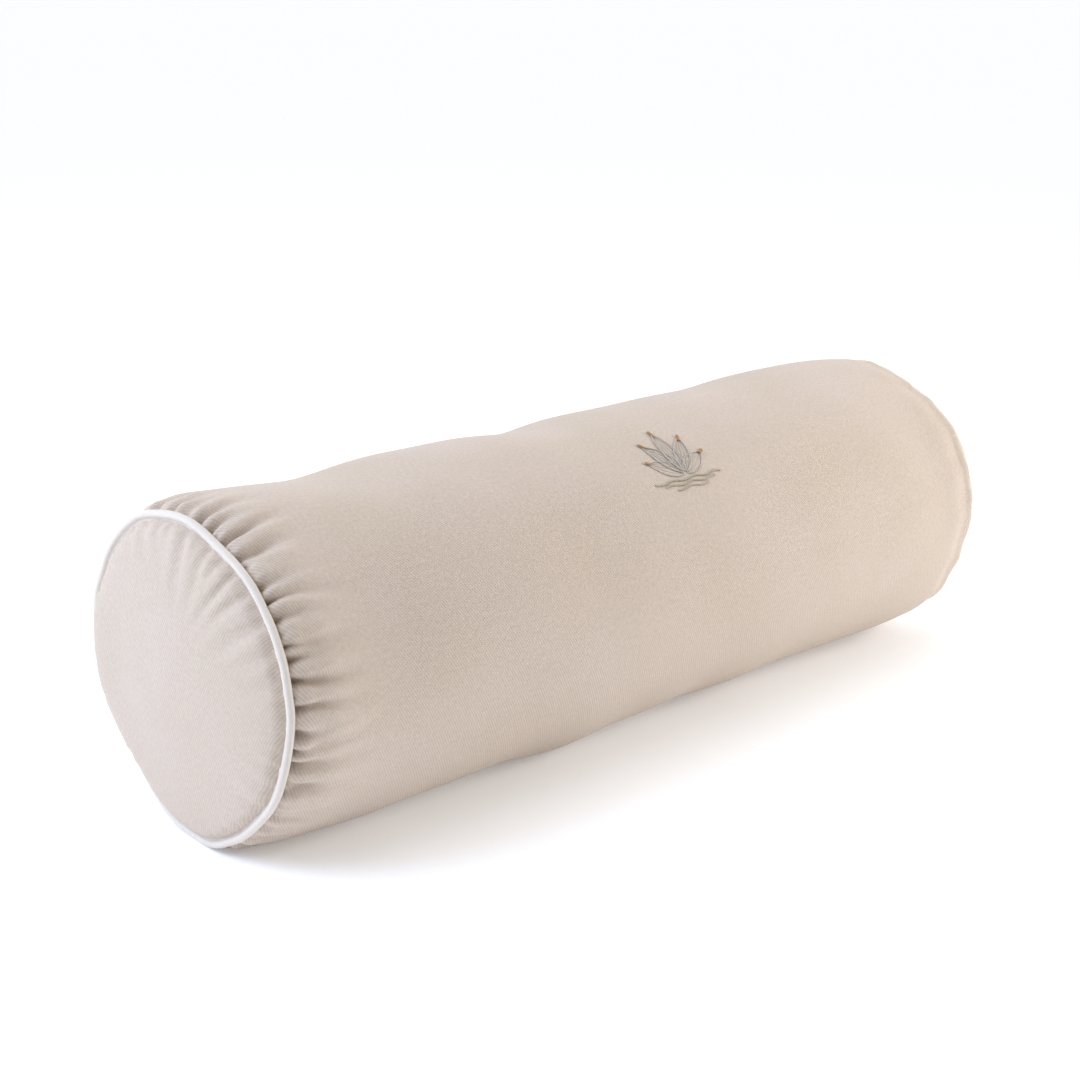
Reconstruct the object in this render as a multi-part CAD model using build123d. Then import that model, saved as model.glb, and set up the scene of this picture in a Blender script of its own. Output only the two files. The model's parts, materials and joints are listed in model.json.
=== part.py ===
"""Round bolster pillow: a piped, zipped twill cover over a fibre-filled inner pad.

Millimetres, +Z up, X along the bolster, origin in the middle of the flat underside that it rests on.
-X is the left end, -Y the front with the embroidered motif, +Y the back with the zip.

Every cloth layer follows one outer shape, moved in by an inset, so the pieces nest like the real ones.
"""

import math
import os
from functools import lru_cache

from build123d import *

# ---- outer shape -------------------------------------------------------------------------------------
seam_to_seam = 600.0  # length between the two piped end seams
body_radius = 100.0
resting_flat_depth = 4.0  # how far the underside is pressed flat by the pillow's weight
shoulder_length = 30.0  # stretch over which the gathered body narrows to each end seam
shoulder_drop = 11.0  # how much smaller its radius is there
end_corner_radius = 22.0  # rounding just outside the seam, where the end panel bulges
dome_edge_angle = 80.0  # degrees between the end panel's normal and the radius, at the dome's edge

# ---- cloth, cord and thread --------------------------------------------------------------------------
cover_cloth = 0.8
piping_cloth = 0.6
case_cloth = 0.5
seam_allowance = 12.0
layer_gap = 0.3  # air between neighbouring cloth layers
pad_gap = 0.6  # air between the cover's wall and the inner pad
piping_cord_diameter = 3.2
thread_diameter = 0.6

# ---- zip: a number 5 coil zip in the long seam -------------------------------------------------------
zip_angle = 170.0  # degrees round from the front, over the top: just above the middle of the back
zip_length = 500.0  # coil length, between the stops
zip_lip_gap = 0.8  # between the slider's sides and the two folded lips of the cover
zip_tape_width = 16.0  # each tape
zip_tape_overrun = 15.0  # tape beyond each end of the coil
zip_tape_cloth = 0.6
zip_coil_width = 2.6  # each side
zip_coil_height = 1.6
zip_coil_rounding = 0.5
zip_chain_gap = 1.0  # between the two coils, where the slider's neck passes
zip_stop_length = 3.0
slider_length = 11.0
slider_plate = 1.0
slider_lower_plate = 0.8
slider_flange = 0.9
slider_neck_length = 2.6
slider_neck_gap = 0.1  # between the slider's neck and each coil
slider_corner = 1.5
slide_gap = 0.2  # running clearance of the slider on coil, tape, stops and pad
bridge_width = 1.8
bridge_wall = 1.1
bridge_play = 0.7  # along the slider, between the bridge's legs and the pull's crossbar
pull_length = 30.0
pull_width = 7.0
pull_thickness = 1.2
pull_arm_width = 1.4
pull_gap = 0.5  # under the pull when it lies flat, and beside the bridge
pull_hole_diameter = 3.0
topstitch_margin = 3.0  # from the lips to the stitch rows that hold the zip

# ---- embroidery and label ----------------------------------------------------------------------------
motif_x = 22.0
motif_angle = 54.0  # degrees up from the front
petal_lengths = (27.0, 32.0, 36.0, 32.0, 27.0)
petal_spread = 31.0  # degrees between neighbouring petals
petal_width = 11.5
ripple_lengths = (58.0, 38.0)
ripple_width = 4.0
ripple_pitch = 6.0
embroidery_thickness = 0.6
backing_width = 72.0
backing_height = 62.0
backing_thickness = 0.25
surface_gap = 0.05  # between the cover's outer face and what is sewn on it
label_width = 30.0
label_height = 42.0

# ---- derived -----------------------------------------------------------------------------------------
seam_x = seam_to_seam / 2
axis_height = body_radius - resting_flat_depth
end_panel_radius = body_radius - shoulder_drop
shoulder_radius = (shoulder_length**2 + shoulder_drop**2) / (2 * shoulder_drop)
seam_angle = math.degrees(math.asin(shoulder_length / shoulder_radius))
shoulder_start = seam_x - shoulder_length

piping_flange = 2 * piping_cloth
sleeve_inner_radius = piping_cord_diameter / 2 + surface_gap
sleeve_outer_radius = sleeve_inner_radius + piping_cloth
piping_ring_radius = end_panel_radius + (sleeve_outer_radius + surface_gap) / math.cos(math.radians(seam_angle))

# insets of the layers that lie inside the cover at each end seam, from the outside in
doubled_cover = 2 * cover_cloth
flange_inset = doubled_cover + layer_gap
turned_end_inset = flange_inset + piping_flange + layer_gap
turned_end_inner = turned_end_inset + cover_cloth
body_edge_x = seam_x - piping_flange / 2 - layer_gap
end_edge_x = seam_x + piping_flange / 2 + layer_gap
end_wall_x = end_edge_x + cover_cloth
allowance_x = seam_x - seam_allowance
seam_relief_x = end_wall_x + thread_diameter + 2 * layer_gap

# heights in the zip's own frame, measured outwards from the body radius
tape_inset = doubled_cover + layer_gap
tape_inner = tape_inset + zip_tape_cloth
coil_foot = -tape_inset + surface_gap
coil_top = coil_foot + zip_coil_height
plate_foot = coil_top + slide_gap
plate_top = plate_foot + slider_plate
lower_plate_top = -tape_inner - slide_gap
lower_plate_foot = lower_plate_top - slider_lower_plate
zip_relief_inset = -lower_plate_foot + slide_gap + layer_gap
slider_neck_width = zip_chain_gap - 2 * slider_neck_gap
slider_width = zip_chain_gap + 2 * (zip_coil_width + slide_gap + slider_flange)
slot_half = slider_width / 2 + zip_lip_gap
slot_end_x = zip_length / 2 + zip_stop_length + 2 * slide_gap
long_seam_half = slot_half + seam_allowance + layer_gap
long_relief_half = max(long_seam_half, zip_chain_gap / 2 + zip_tape_width) + layer_gap
slider_x = -zip_length / 2 + slider_length / 2 + slide_gap
slider_travel = zip_length - slider_length - 2 * slide_gap
pull_axis_height = plate_top + pull_gap + pull_thickness / 2
bridge_opening_length = pull_thickness + 2 * bridge_play
bridge_opening_height = pull_gap + pull_thickness + slide_gap
bridge_length = bridge_opening_length + 2 * bridge_wall
bridge_height = bridge_opening_height + bridge_wall
bridge_reach = math.hypot(bridge_length / 2, plate_top + bridge_height - pull_axis_height)
pull_eye_length = bridge_reach + 2 * pull_gap
pad_inset = cover_cloth + pad_gap

big = 4 * (seam_to_seam + body_radius)  # larger than anything here, for cutting blocks


# ---- shared shapes -----------------------------------------------------------------------------------
def polar(centre, radius, angle):
    """Point at a radius from a centre, its angle measured from the radial direction towards the end."""
    turn = math.radians(angle)
    return (centre[0] + radius * math.sin(turn), centre[1] + radius * math.cos(turn))


def arc(centre, radius, start, end):
    """Arc between two such angles."""
    stations = (start, (start + end) / 2, end)
    return ThreePointArc(*[polar(centre, radius, angle) for angle in stations])


def corner_centre():
    """Centre of the rounding just outside the end seam, in the profile's plane."""
    return polar((seam_x, end_panel_radius), -end_corner_radius, seam_angle)


@lru_cache(maxsize=None)
def form(inset):
    """The bolster's outer shape with every surface moved in by inset, as one closed solid."""
    shoulder_centre = (shoulder_start, body_radius - shoulder_radius)
    dome_edge = polar(corner_centre(), end_corner_radius, dome_edge_angle)
    dome_radius = dome_edge[1] / math.cos(math.radians(dome_edge_angle))
    dome_centre = polar(dome_edge, -dome_radius, dome_edge_angle)
    half = [
        Line((0, body_radius - inset), (shoulder_start, body_radius - inset)),
        arc(shoulder_centre, shoulder_radius - inset, 0, seam_angle),
        arc(corner_centre(), end_corner_radius - inset, seam_angle, dome_edge_angle),
        arc(dome_centre, dome_radius - inset, dome_edge_angle, 90),
        Line((dome_centre[0] + dome_radius - inset, 0), (0, 0)),
        Line((0, 0), (0, body_radius - inset)),
    ]
    # the profile starts at the underside, so the surfaces' own joins fall where the flat cuts them off
    profile = Rot(X=-90) * make_face(Curve() + half)
    right = revolve(profile, axis=Axis.X, revolution_arc=360)
    whole = right + mirror(right, about=Plane.YZ)
    above_floor = Pos(Z=inset - axis_height + big / 2) * Box(big, big, big)
    return Pos(Z=axis_height) * (whole & above_floor).clean()


def slab(low_x, high_x):
    """Block that holds everything between two stations along the bolster."""
    return Pos(X=(low_x + high_x) / 2) * Box(abs(high_x - low_x), big, big)


def layer(outer_inset, inner_inset, low_x, high_x):
    """Cloth between two insets, between two stations along the bolster."""
    return (form(outer_inset) - form(inner_inset)) & slab(low_x, high_x)


def around(angle):
    """Frame with X along the bolster and Z out from its axis, at an angle round from the front."""
    return Pos(Z=axis_height) * Rot(X=90 - angle)


def band(angle, half_x, low_v, high_v, centre_x=0.0):
    """Block out from the axis, at an angle, between two offsets to the side of that line."""
    block = Pos(X=centre_x, Y=(low_v + high_v) / 2, Z=body_radius) * Box(2 * half_x, high_v - low_v, body_radius)
    return around(angle) * block


def patch(angle, outer_inset, inner_inset, outline, centre_x):
    """Flat outline laid on the body's surface, as cloth between two insets."""
    prism = Pos(X=centre_x, Z=body_radius / 2) * extrude(outline, amount=body_radius)
    return (form(outer_inset) - form(inner_inset)) & (around(angle) * prism)


def at_zip(shape, x=0.0):
    """Puts a shape made in the zip's frame, with Z zero at the body radius, where the zip is."""
    return around(zip_angle) * (Pos(X=x, Z=body_radius) * shape)


def on_side(shape, side):
    """The shape as it is for the right end, or mirrored for the left."""
    return shape if side > 0 else mirror(shape, about=Plane.YZ)


def ring(x, radius, wire_radius):
    """Ring round the bolster's axis."""
    return Pos(X=x, Z=axis_height) * Rot(Y=90) * Torus(radius, wire_radius)


# ---- cover -------------------------------------------------------------------------------------------
def cover_body_panel():
    """Main panel, rolled to a tube, with doubled edges at both end seams and along the long zip seam."""
    panel = layer(0, cover_cloth, -body_edge_x, body_edge_x)
    for side in (-1, 1):
        panel += layer(0, doubled_cover, side * allowance_x, side * body_edge_x)
    doubled = form(0) - form(doubled_cover)
    panel += doubled & band(zip_angle, body_edge_x, -long_seam_half, long_seam_half)
    return panel - band(zip_angle, slot_end_x, -slot_half, slot_half)


def cover_end_panel(side):
    """Round end panel with its allowance turned in under the piping's flange."""
    panel = layer(0, cover_cloth, end_edge_x, 2 * seam_x)
    panel += layer(0, turned_end_inner, end_edge_x, end_wall_x)
    panel += layer(turned_end_inset, turned_end_inner, allowance_x, end_wall_x)
    return on_side(panel, side)


def piping_sleeve(side):
    """Bias strip folded round the piping cord, its two-ply flange sewn into the end seam."""
    sleeve = ring(seam_x, piping_ring_radius, sleeve_outer_radius)
    sleeve -= ring(seam_x, piping_ring_radius, sleeve_inner_radius)
    flange_x = (seam_x - piping_flange / 2, seam_x + piping_flange / 2)
    neck_radius = piping_ring_radius - (sleeve_inner_radius + sleeve_outer_radius) / 2
    neck = Pos(Z=axis_height) * Rot(Y=90) * Cylinder(neck_radius, big)
    neck = (neck & slab(*flange_x)) - form(flange_inset + piping_flange)
    flange = layer(flange_inset, flange_inset + piping_flange, allowance_x, flange_x[1])
    return on_side(sleeve + neck + flange, side)


def piping_cord(side):
    """Round filler cord inside the piping."""
    return on_side(ring(seam_x, piping_ring_radius, piping_cord_diameter / 2), side)


def end_seam_thread(side):
    """The end seam's line of thread, inside the cover against the end panel's turned edge."""
    x = end_wall_x + surface_gap + thread_diameter / 2
    reach = end_corner_radius - cover_cloth - layer_gap - thread_diameter / 2
    radius = corner_centre()[1] + math.sqrt(reach**2 - (x - corner_centre()[0]) ** 2)
    return on_side(ring(x, radius, thread_diameter / 2), side)


# ---- zip ---------------------------------------------------------------------------------------------
def zip_tape(side):
    """Woven tape behind the lips. Side -1 is the upper one."""
    edges = sorted((side * zip_chain_gap / 2, side * (zip_chain_gap / 2 + zip_tape_width)))
    tape = form(tape_inset) - form(tape_inner)
    return tape & band(zip_angle, zip_length / 2 + zip_tape_overrun, *edges)


def zip_coil(side):
    """One side of the coil, as the bar that its turns fill."""
    centre = side * (zip_chain_gap + zip_coil_width) / 2
    section = Plane.YZ * RectangleRounded(zip_coil_width, zip_coil_height, zip_coil_rounding)
    bar = Pos(X=-zip_length / 2, Y=centre, Z=coil_foot + zip_coil_height / 2) * extrude(section, amount=zip_length)
    return at_zip(bar)


def zip_stop(x, low_v, high_v):
    """Small block that sits on the tape just past the coil and stops the slider."""
    size = (zip_stop_length, high_v - low_v, zip_coil_height)
    centre = (x, (low_v + high_v) / 2, coil_foot + zip_coil_height / 2)
    block = Pos(*centre) * Box(*size)
    return fillet(block.edges().group_by(Axis.Z)[-1], zip_coil_rounding)


def zip_top_stops():
    """Two stops, one on each tape, at the end where the zip is closed."""
    x = -zip_length / 2 - slide_gap - zip_stop_length / 2
    outer = zip_chain_gap / 2 + zip_coil_width
    stops = [zip_stop(x, zip_chain_gap / 2, outer), zip_stop(x, -outer, -zip_chain_gap / 2)]
    return at_zip(Compound(children=stops))


def zip_bottom_stop():
    """One stop across both tapes at the other end."""
    x = zip_length / 2 + slide_gap + zip_stop_length / 2
    outer = zip_chain_gap / 2 + zip_coil_width
    return at_zip(zip_stop(x, -outer, outer))


def zip_slider_body():
    """Two plates joined by a neck between the coils, with a bridge on top that holds the pull."""
    plan = RectangleRounded(slider_length, slider_width, slider_corner)
    body = Pos(Z=plate_foot) * extrude(plan, amount=slider_plate)
    body += Pos(Z=lower_plate_foot) * extrude(plan, amount=slider_lower_plate)
    flange_depth = plate_foot + tape_inset - slide_gap
    for side in (-1, 1):
        centre = (0, side * (slider_width - slider_flange) / 2, plate_foot - flange_depth / 2)
        body += Pos(*centre) * Box(slider_length - 2 * slider_corner, slider_flange, flange_depth)
    neck_height = plate_top - lower_plate_foot
    neck_x = -slider_length / 2 + slider_corner + slider_neck_length / 2
    neck = Box(slider_neck_length, slider_neck_width, neck_height)
    body += Pos(neck_x, 0, plate_top - neck_height / 2) * neck
    return at_zip(body + slider_bridge(), slider_x)


def slider_bridge():
    """Arch along the slider's top, with room under it for the pull's crossbar."""
    arch = Pos(Z=plate_top + bridge_height / 2) * Box(bridge_length, bridge_width, bridge_height)
    arch = fillet(arch.edges().filter_by(Axis.Y).group_by(Axis.Z)[-1], bridge_wall)
    opening = Box(bridge_opening_length, 2 * bridge_width, bridge_opening_height)
    return arch - Pos(Z=plate_top + bridge_opening_height / 2) * opening


def zip_pull_tab():
    """Pull with a crossbar under the slider's bridge, two arms beside it and a tab with a hole."""
    eye_width = bridge_width + 2 * pull_gap
    arms_width = eye_width + 2 * pull_arm_width
    bar = Rot(X=90) * Cylinder(pull_thickness / 2, arms_width)
    plate_length = pull_eye_length + pull_arm_width
    arms = Pos(X=plate_length / 2) * Box(plate_length, arms_width, pull_thickness)
    arms -= Pos(X=pull_eye_length / 2) * Box(pull_eye_length, eye_width, 2 * pull_thickness)
    tab_length = pull_length - pull_eye_length
    outline = Pos(X=pull_eye_length + tab_length / 2) * SlotOverall(tab_length, pull_width)
    hole_x = pull_length - pull_width / 2
    outline -= Pos(X=hole_x) * Circle(pull_hole_diameter / 2)
    tab = Pos(Z=-pull_thickness / 2) * extrude(outline, amount=pull_thickness)
    tab -= Pos(X=pull_eye_length / 2) * Box(pull_eye_length, pull_width * 2, 2 * pull_thickness)
    pull = bar + arms + tab
    return at_zip(Pos(Z=pull_axis_height) * pull, slider_x)


def topstitch_row(side):
    """Row of stitching beside the zip, as the flat bar that its stitches fill."""
    centre = side * (slot_half + topstitch_margin)
    half = thread_diameter / 2
    row = form(-surface_gap - thread_diameter) - form(-surface_gap)
    return row & band(zip_angle, slot_end_x + topstitch_margin, centre - half, centre + half)


def zip_bartacks():
    """Stitching across both ends of the zip's slot, between the long rows."""
    reach = slot_half + topstitch_margin - thread_diameter / 2 - surface_gap
    thread = form(-surface_gap - thread_diameter) - form(-surface_gap)
    tacks = [
        thread & band(zip_angle, thread_diameter, -reach, reach, side * (slot_end_x + topstitch_margin / 2))
        for side in (-1, 1)
    ]
    return Compound(children=tacks)


# ---- embroidery, backing and label -------------------------------------------------------------------
def leaf_outline(length, width):
    """Pointed oval standing on the origin."""
    right = ThreePointArc((0, 0), (width / 2, length / 2), (0, length))
    left = ThreePointArc((0, length), (-width / 2, length / 2), (0, 0))
    return make_face(Curve() + [right, left])


def motif_foot():
    """Where the petals spring from, so that the whole motif is centred on its place."""
    return -(max(petal_lengths) - ripple_pitch * len(ripple_lengths)) / 2


def embroidery_petals():
    """Five petals of satin stitch fanned from one point, as the plate that the thread fills."""
    middle = (len(petal_lengths) - 1) / 2
    flower = Sketch()
    for place, length in enumerate(petal_lengths):
        flower += Rot(Z=(place - middle) * petal_spread) * leaf_outline(length, petal_width)
    flower = Pos(Y=motif_foot()) * flower
    return patch(motif_angle, -surface_gap - embroidery_thickness, -surface_gap, flower, motif_x)


def embroidery_ripples():
    """Two flat leaves of thread under the petals, like ripples on water."""
    outlines = [
        Pos(length / 2, motif_foot() - ripple_pitch * (row + 0.5), 0) * Rot(Z=90) * leaf_outline(length, ripple_width)
        for row, length in enumerate(ripple_lengths)
    ]
    insets = (-surface_gap - embroidery_thickness, -surface_gap)
    return Compound(children=[patch(motif_angle, *insets, outline, motif_x) for outline in outlines])


def embroidery_backing():
    """Stabiliser left behind the embroidery, on the cover's inner face."""
    outer = cover_cloth + (pad_gap - backing_thickness) / 2
    outline = RectangleRounded(backing_width, backing_height, seam_allowance)
    return patch(motif_angle, outer, outer + backing_thickness, outline, motif_x)


def care_label():
    """Blank folded label beside the long seam's allowance, inside the cover."""
    outer = cover_cloth + (pad_gap - backing_thickness) / 2
    low = long_relief_half + layer_gap
    centre_x = slider_x + slider_length + label_width / 2
    patch_band = band(zip_angle, label_width / 2, low, low + label_height, centre_x)
    return (form(outer) - form(outer + backing_thickness)) & patch_band


# ---- inner pad ---------------------------------------------------------------------------------------
@lru_cache(maxsize=None)
def pad(margin):
    """The inner pad's shape moved in by margin: the form, pressed in by the seams and the zip."""
    shape = form(pad_inset + margin)
    start = allowance_x - layer_gap - margin
    end = seam_relief_x + margin
    rings = slab(start, end) + slab(-end, -start)
    shape -= rings - form(turned_end_inner + layer_gap + margin)
    half = long_relief_half + margin
    long_seam = band(zip_angle, seam_x, -half, half)
    return shape - (long_seam - form(zip_relief_inset + margin))


def inner_case():
    """Whole case of the inner pad, before it is parted into its three panels."""
    return pad(0) - pad(case_cloth)


def inner_case_body():
    """Tube of the inner case, from seam to seam."""
    edge = seam_relief_x - layer_gap
    return inner_case() & slab(-edge, edge)


def inner_case_end(side):
    """Round end of the inner case."""
    return on_side(inner_case() & slab(seam_relief_x, 2 * seam_x), side)


def fibre_fill():
    """Hollow-fibre filling, as the solid that it fills."""
    return pad(case_cloth + layer_gap)


parts = {
    "cover_body_panel": cover_body_panel(),
    "zip_tape_upper": zip_tape(-1),
    "zip_tape_lower": zip_tape(1),
    "zip_coil_upper": zip_coil(-1),
    "zip_coil_lower": zip_coil(1),
    "zip_top_stops": zip_top_stops(),
    "zip_bottom_stop": zip_bottom_stop(),
    "zip_slider_body": zip_slider_body(),
    "zip_pull_tab": zip_pull_tab(),
    "zip_topstitch_upper": topstitch_row(-1),
    "zip_topstitch_lower": topstitch_row(1),
    "zip_bartacks": zip_bartacks(),
    "embroidery_petals": embroidery_petals(),
    "embroidery_ripples": embroidery_ripples(),
    "embroidery_backing": embroidery_backing(),
    "care_label": care_label(),
    "inner_case_body": inner_case_body(),
    "fibre_fill": fibre_fill(),
}
for end, side in (("left", -1), ("right", 1)):
    parts[f"cover_end_panel_{end}"] = cover_end_panel(side)
    parts[f"piping_sleeve_{end}"] = piping_sleeve(side)
    parts[f"piping_cord_{end}"] = piping_cord(side)
    parts[f"end_seam_thread_{end}"] = end_seam_thread(side)
    parts[f"inner_case_end_{end}"] = inner_case_end(side)

if __name__ == "__main__":
    os.makedirs("parts", exist_ok=True)
    for name, shape in parts.items():
        export_step(shape, f"parts/{name}.step")
    print(f"slider at x {slider_x:.2f}, travel {slider_travel:.2f}")
    print(f"pull hinge {pull_axis_height:.3f} above the body radius, axis height {axis_height:.2f}")
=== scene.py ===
"""Bolster pillow: its looks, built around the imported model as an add-on and run as a script.

Metres, +Z up, X along the bolster. An angle round the bolster is 0 at the front (-Y), a quarter turn at the
top, a half turn at the back (+Y) and three quarters at the underside.
"""

import json
import math

import bpy
import numpy as np
from bpy.props import FloatProperty, FloatVectorProperty, IntProperty, PointerProperty
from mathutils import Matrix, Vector


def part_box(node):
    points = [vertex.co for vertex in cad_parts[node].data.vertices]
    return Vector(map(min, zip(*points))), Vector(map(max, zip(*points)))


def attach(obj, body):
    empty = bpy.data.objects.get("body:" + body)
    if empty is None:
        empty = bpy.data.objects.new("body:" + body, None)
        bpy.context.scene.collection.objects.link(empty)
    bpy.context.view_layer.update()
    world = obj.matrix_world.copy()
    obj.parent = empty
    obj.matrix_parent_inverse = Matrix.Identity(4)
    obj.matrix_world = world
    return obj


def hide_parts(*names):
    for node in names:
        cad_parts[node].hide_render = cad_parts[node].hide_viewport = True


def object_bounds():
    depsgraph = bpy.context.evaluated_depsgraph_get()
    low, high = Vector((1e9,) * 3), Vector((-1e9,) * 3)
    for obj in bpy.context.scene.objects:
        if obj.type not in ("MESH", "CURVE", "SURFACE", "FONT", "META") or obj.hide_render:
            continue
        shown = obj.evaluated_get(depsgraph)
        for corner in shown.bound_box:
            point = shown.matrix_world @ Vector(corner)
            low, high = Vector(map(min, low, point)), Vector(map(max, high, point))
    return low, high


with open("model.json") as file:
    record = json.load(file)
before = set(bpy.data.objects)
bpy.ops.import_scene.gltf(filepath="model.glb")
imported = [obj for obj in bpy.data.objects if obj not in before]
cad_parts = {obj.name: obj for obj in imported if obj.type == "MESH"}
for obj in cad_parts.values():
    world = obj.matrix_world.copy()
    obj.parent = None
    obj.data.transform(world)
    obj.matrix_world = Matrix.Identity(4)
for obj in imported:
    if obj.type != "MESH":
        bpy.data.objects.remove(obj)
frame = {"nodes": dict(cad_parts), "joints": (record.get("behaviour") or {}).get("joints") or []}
CAD_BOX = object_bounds()

bl_info = {
    "name": "Bolster pillow",
    "version": (1, 0, 0),
    "blender": (4, 5, 0),
    "location": "View3D > Sidebar > Bolster",
    "description": "Makes a piped, zipped and gathered bolster pillow around its packed model",
    "category": "Object",
}

MM = 0.001
TURN = 2 * math.pi

# ---- what the frame says -----------------------------------------------------------------------------
PANEL_LOW, PANEL_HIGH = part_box("cover_body_panel")
CORD_LOW, CORD_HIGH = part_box("piping_cord_right")
SLEEVE_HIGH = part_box("piping_sleeve_right")[1]
BODY_RADIUS = -PANEL_LOW.y
AXIS_HEIGHT = PANEL_HIGH.z - BODY_RADIUS
SEAM_X = (CORD_LOW.x + CORD_HIGH.x) / 2
CORD_RADIUS = (CORD_HIGH.x - CORD_LOW.x) / 2
PIPING_RING = CORD_HIGH.y - CORD_RADIUS
SLEEVE_RADIUS = SLEEVE_HIGH.x - SEAM_X
PULL_JOINT = next(j for j in frame["joints"] if j["name"] == "pull_flip")
ZIP_ANGLE = math.atan2(-PULL_JOINT["axis"][1], -PULL_JOINT["axis"][2])
ZIP_END_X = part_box("zip_bottom_stop")[1].x


def hex_linear(code):
    """Linear red, green and blue, with alpha 1, of an sRGB hex colour such as #D8CABD."""
    parts = [int(code[i : i + 2], 16) / 255 for i in (1, 3, 5)]
    return [c / 12.92 if c <= 0.04045 else ((c + 0.055) / 1.055) ** 2.4 for c in parts] + [1.0]


def length_property(name, description, default):
    """A size that a user can change, kept in metres."""
    return FloatProperty(name=name, description=description, default=default, unit="LENGTH", precision=5)


def angle_property(name, description, degrees):
    """An angle that a user can change, given in degrees."""
    return FloatProperty(name=name, description=description, default=math.radians(degrees), subtype="ANGLE")


def colour_property(name, description, code):
    """A colour that a user can change, given as sRGB hex and kept linear."""
    return FloatVectorProperty(
        name=name, description=description, default=hex_linear(code), size=4, subtype="COLOR", min=0, max=1
    )


class BolsterCoverSettings(bpy.types.PropertyGroup):
    """The twill cover's shape, cloth and colours."""

    columns: IntProperty(name="Columns", description="Cloth grid columns round the body", default=400)
    rows: IntProperty(name="Rows", description="Cloth grid rows from a seam to the middle", default=76)
    cloth: length_property("Cloth", "Thickness of the cover's twill", 0.8 * MM)
    shoulder: length_property("Shoulder", "Stretch over which the body narrows to a seam", 30 * MM)
    seam_radius: length_property("Seam radius", "Radius of the cover at the end seams", 89 * MM)
    corner: length_property("Corner", "Rounding of an end panel just outside the seam", 22 * MM)
    dome_edge: angle_property("Dome edge", "Slope where the corner meets the dome", 80)
    gathers: IntProperty(name="Gathers", description="Gathers round the left end seam", default=52)
    gather_depth: length_property("Gather depth", "Depth of the deepest gathers", 5.2 * MM)
    gather_length: length_property("Gather length", "Length of the longest gathers", 58 * MM)
    groove: length_property("Groove", "How deep the cloth dips beside the piping", 2.7 * MM)
    pucker: length_property("Pucker", "Depth of the end panels' puckers", 2.1 * MM)
    lump: length_property("Lump", "Height of the filling's soft unevenness", 0.9 * MM)
    fold: length_property("Fold", "Distance between a panel and its turned edge", 1.2 * MM)
    rib: length_property("Rib", "Distance between the twill's diagonal ribs", 1.5 * MM)
    colour: colour_property("Colour", "Warm sand twill", "#D4C5B7")
    # painted shade: the darker colour laid in the valleys between the twill's ribs
    painted_rib_shade: colour_property("Shade", "Between the twill's ribs", "#B5A291")
    pressure: FloatProperty(name="Pressure", description="Push of the filling in the simulation", default=4.0)
    frames: IntProperty(name="Frames", description="Frames that the cloth simulation runs for", default=20)


class BolsterTrimSettings(bpy.types.PropertyGroup):
    """Piping, zip and stitching."""

    piping_colour: colour_property("Piping", "White bias-cut cotton", "#E8DFD5")
    thread_colour: colour_property("Thread", "Sewing thread", "#E6DDD2")
    tape_colour: colour_property("Zip tape", "Woven polyester tape", "#DDD3C7")
    coil_colour: colour_property("Zip coil", "Nylon monofilament", "#E4DCD0")
    metal_colour: colour_property("Zip metal", "Nickel plate", "#CFCBC4")
    slot: length_property("Slot", "Half the distance between the zip's lips", 5.0 * MM)
    coil_pitch: length_property("Coil pitch", "Distance from one turn of the coil to the next", 1.5 * MM)
    stitch: length_property("Stitch", "Length of a topstitch", 3.2 * MM)
    margin: length_property("Margin", "From a lip to its row of topstitching", 3.0 * MM)
    thread: length_property("Thread size", "Diameter of the sewing thread", 0.55 * MM)


class BolsterMotifSettings(bpy.types.PropertyGroup):
    """Embroidered lotus on the front."""

    x: length_property("Place", "Along the bolster, from its middle", 22 * MM)
    angle: angle_property("Angle", "Up from the front", 54)
    petal: length_property("Petal", "Length of the middle petal", 36 * MM)
    width: length_property("Petal width", "Width of a petal", 11.5 * MM)
    spread: angle_property("Spread", "Between neighbouring petals", 31)
    edge: length_property("Edge", "Width of the satin line round a petal", 0.9 * MM)
    thread: length_property("Thread", "Width of an embroidery thread", 0.42 * MM)
    silver: colour_property("Silver", "Silver rayon", "#D8D0C4")
    bronze: colour_property("Bronze", "Olive bronze rayon", "#CBBFA6")
    gold: colour_property("Gold", "Gold-brown rayon", "#C0935E")


class BolsterStageSettings(bpy.types.PropertyGroup):
    """Camera, lights and floor."""

    azimuth: angle_property("Azimuth", "Camera round the object", -42.88)
    elevation: angle_property("Elevation", "Camera above the horizon", 16.70)
    distance: length_property("Distance", "From the camera to the point it looks at", 1.2418)
    lens: FloatProperty(name="Lens", description="Focal length in millimetres", default=63.73)
    floor_size: length_property("Floor", "Side of the square floor", 60.0)
    surround: FloatProperty(name="Surround", description="Strength of the white backdrop", default=1.0)
    surround_front: FloatProperty(name="Room", description="Strength of the room before it", default=0.12)
    glow: FloatProperty(name="Glow", description="Light that the white floor gives off", default=0.17)
    overhead: FloatProperty(name="Overhead", description="Strength of the soft light above", default=0.80)
    right: FloatProperty(name="Right", description="Power of the light by the right end", default=8.0)
    left: FloatProperty(name="Left", description="Power of the light by the left end", default=20.0)


def settings(name):
    """One of the scene's setting groups."""
    return getattr(bpy.context.scene, "bolster_" + name)


# ---- shape: the outline and how the filling and the seams bend it ------------------------------------
def seam_slope():
    """Angle of the cover's normal to the radius at a seam, where shoulder and end panel share it."""
    cover = settings("cover")
    drop = BODY_RADIUS - cover.seam_radius
    return math.asin(2 * cover.shoulder * drop / (cover.shoulder**2 + drop**2))


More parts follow.
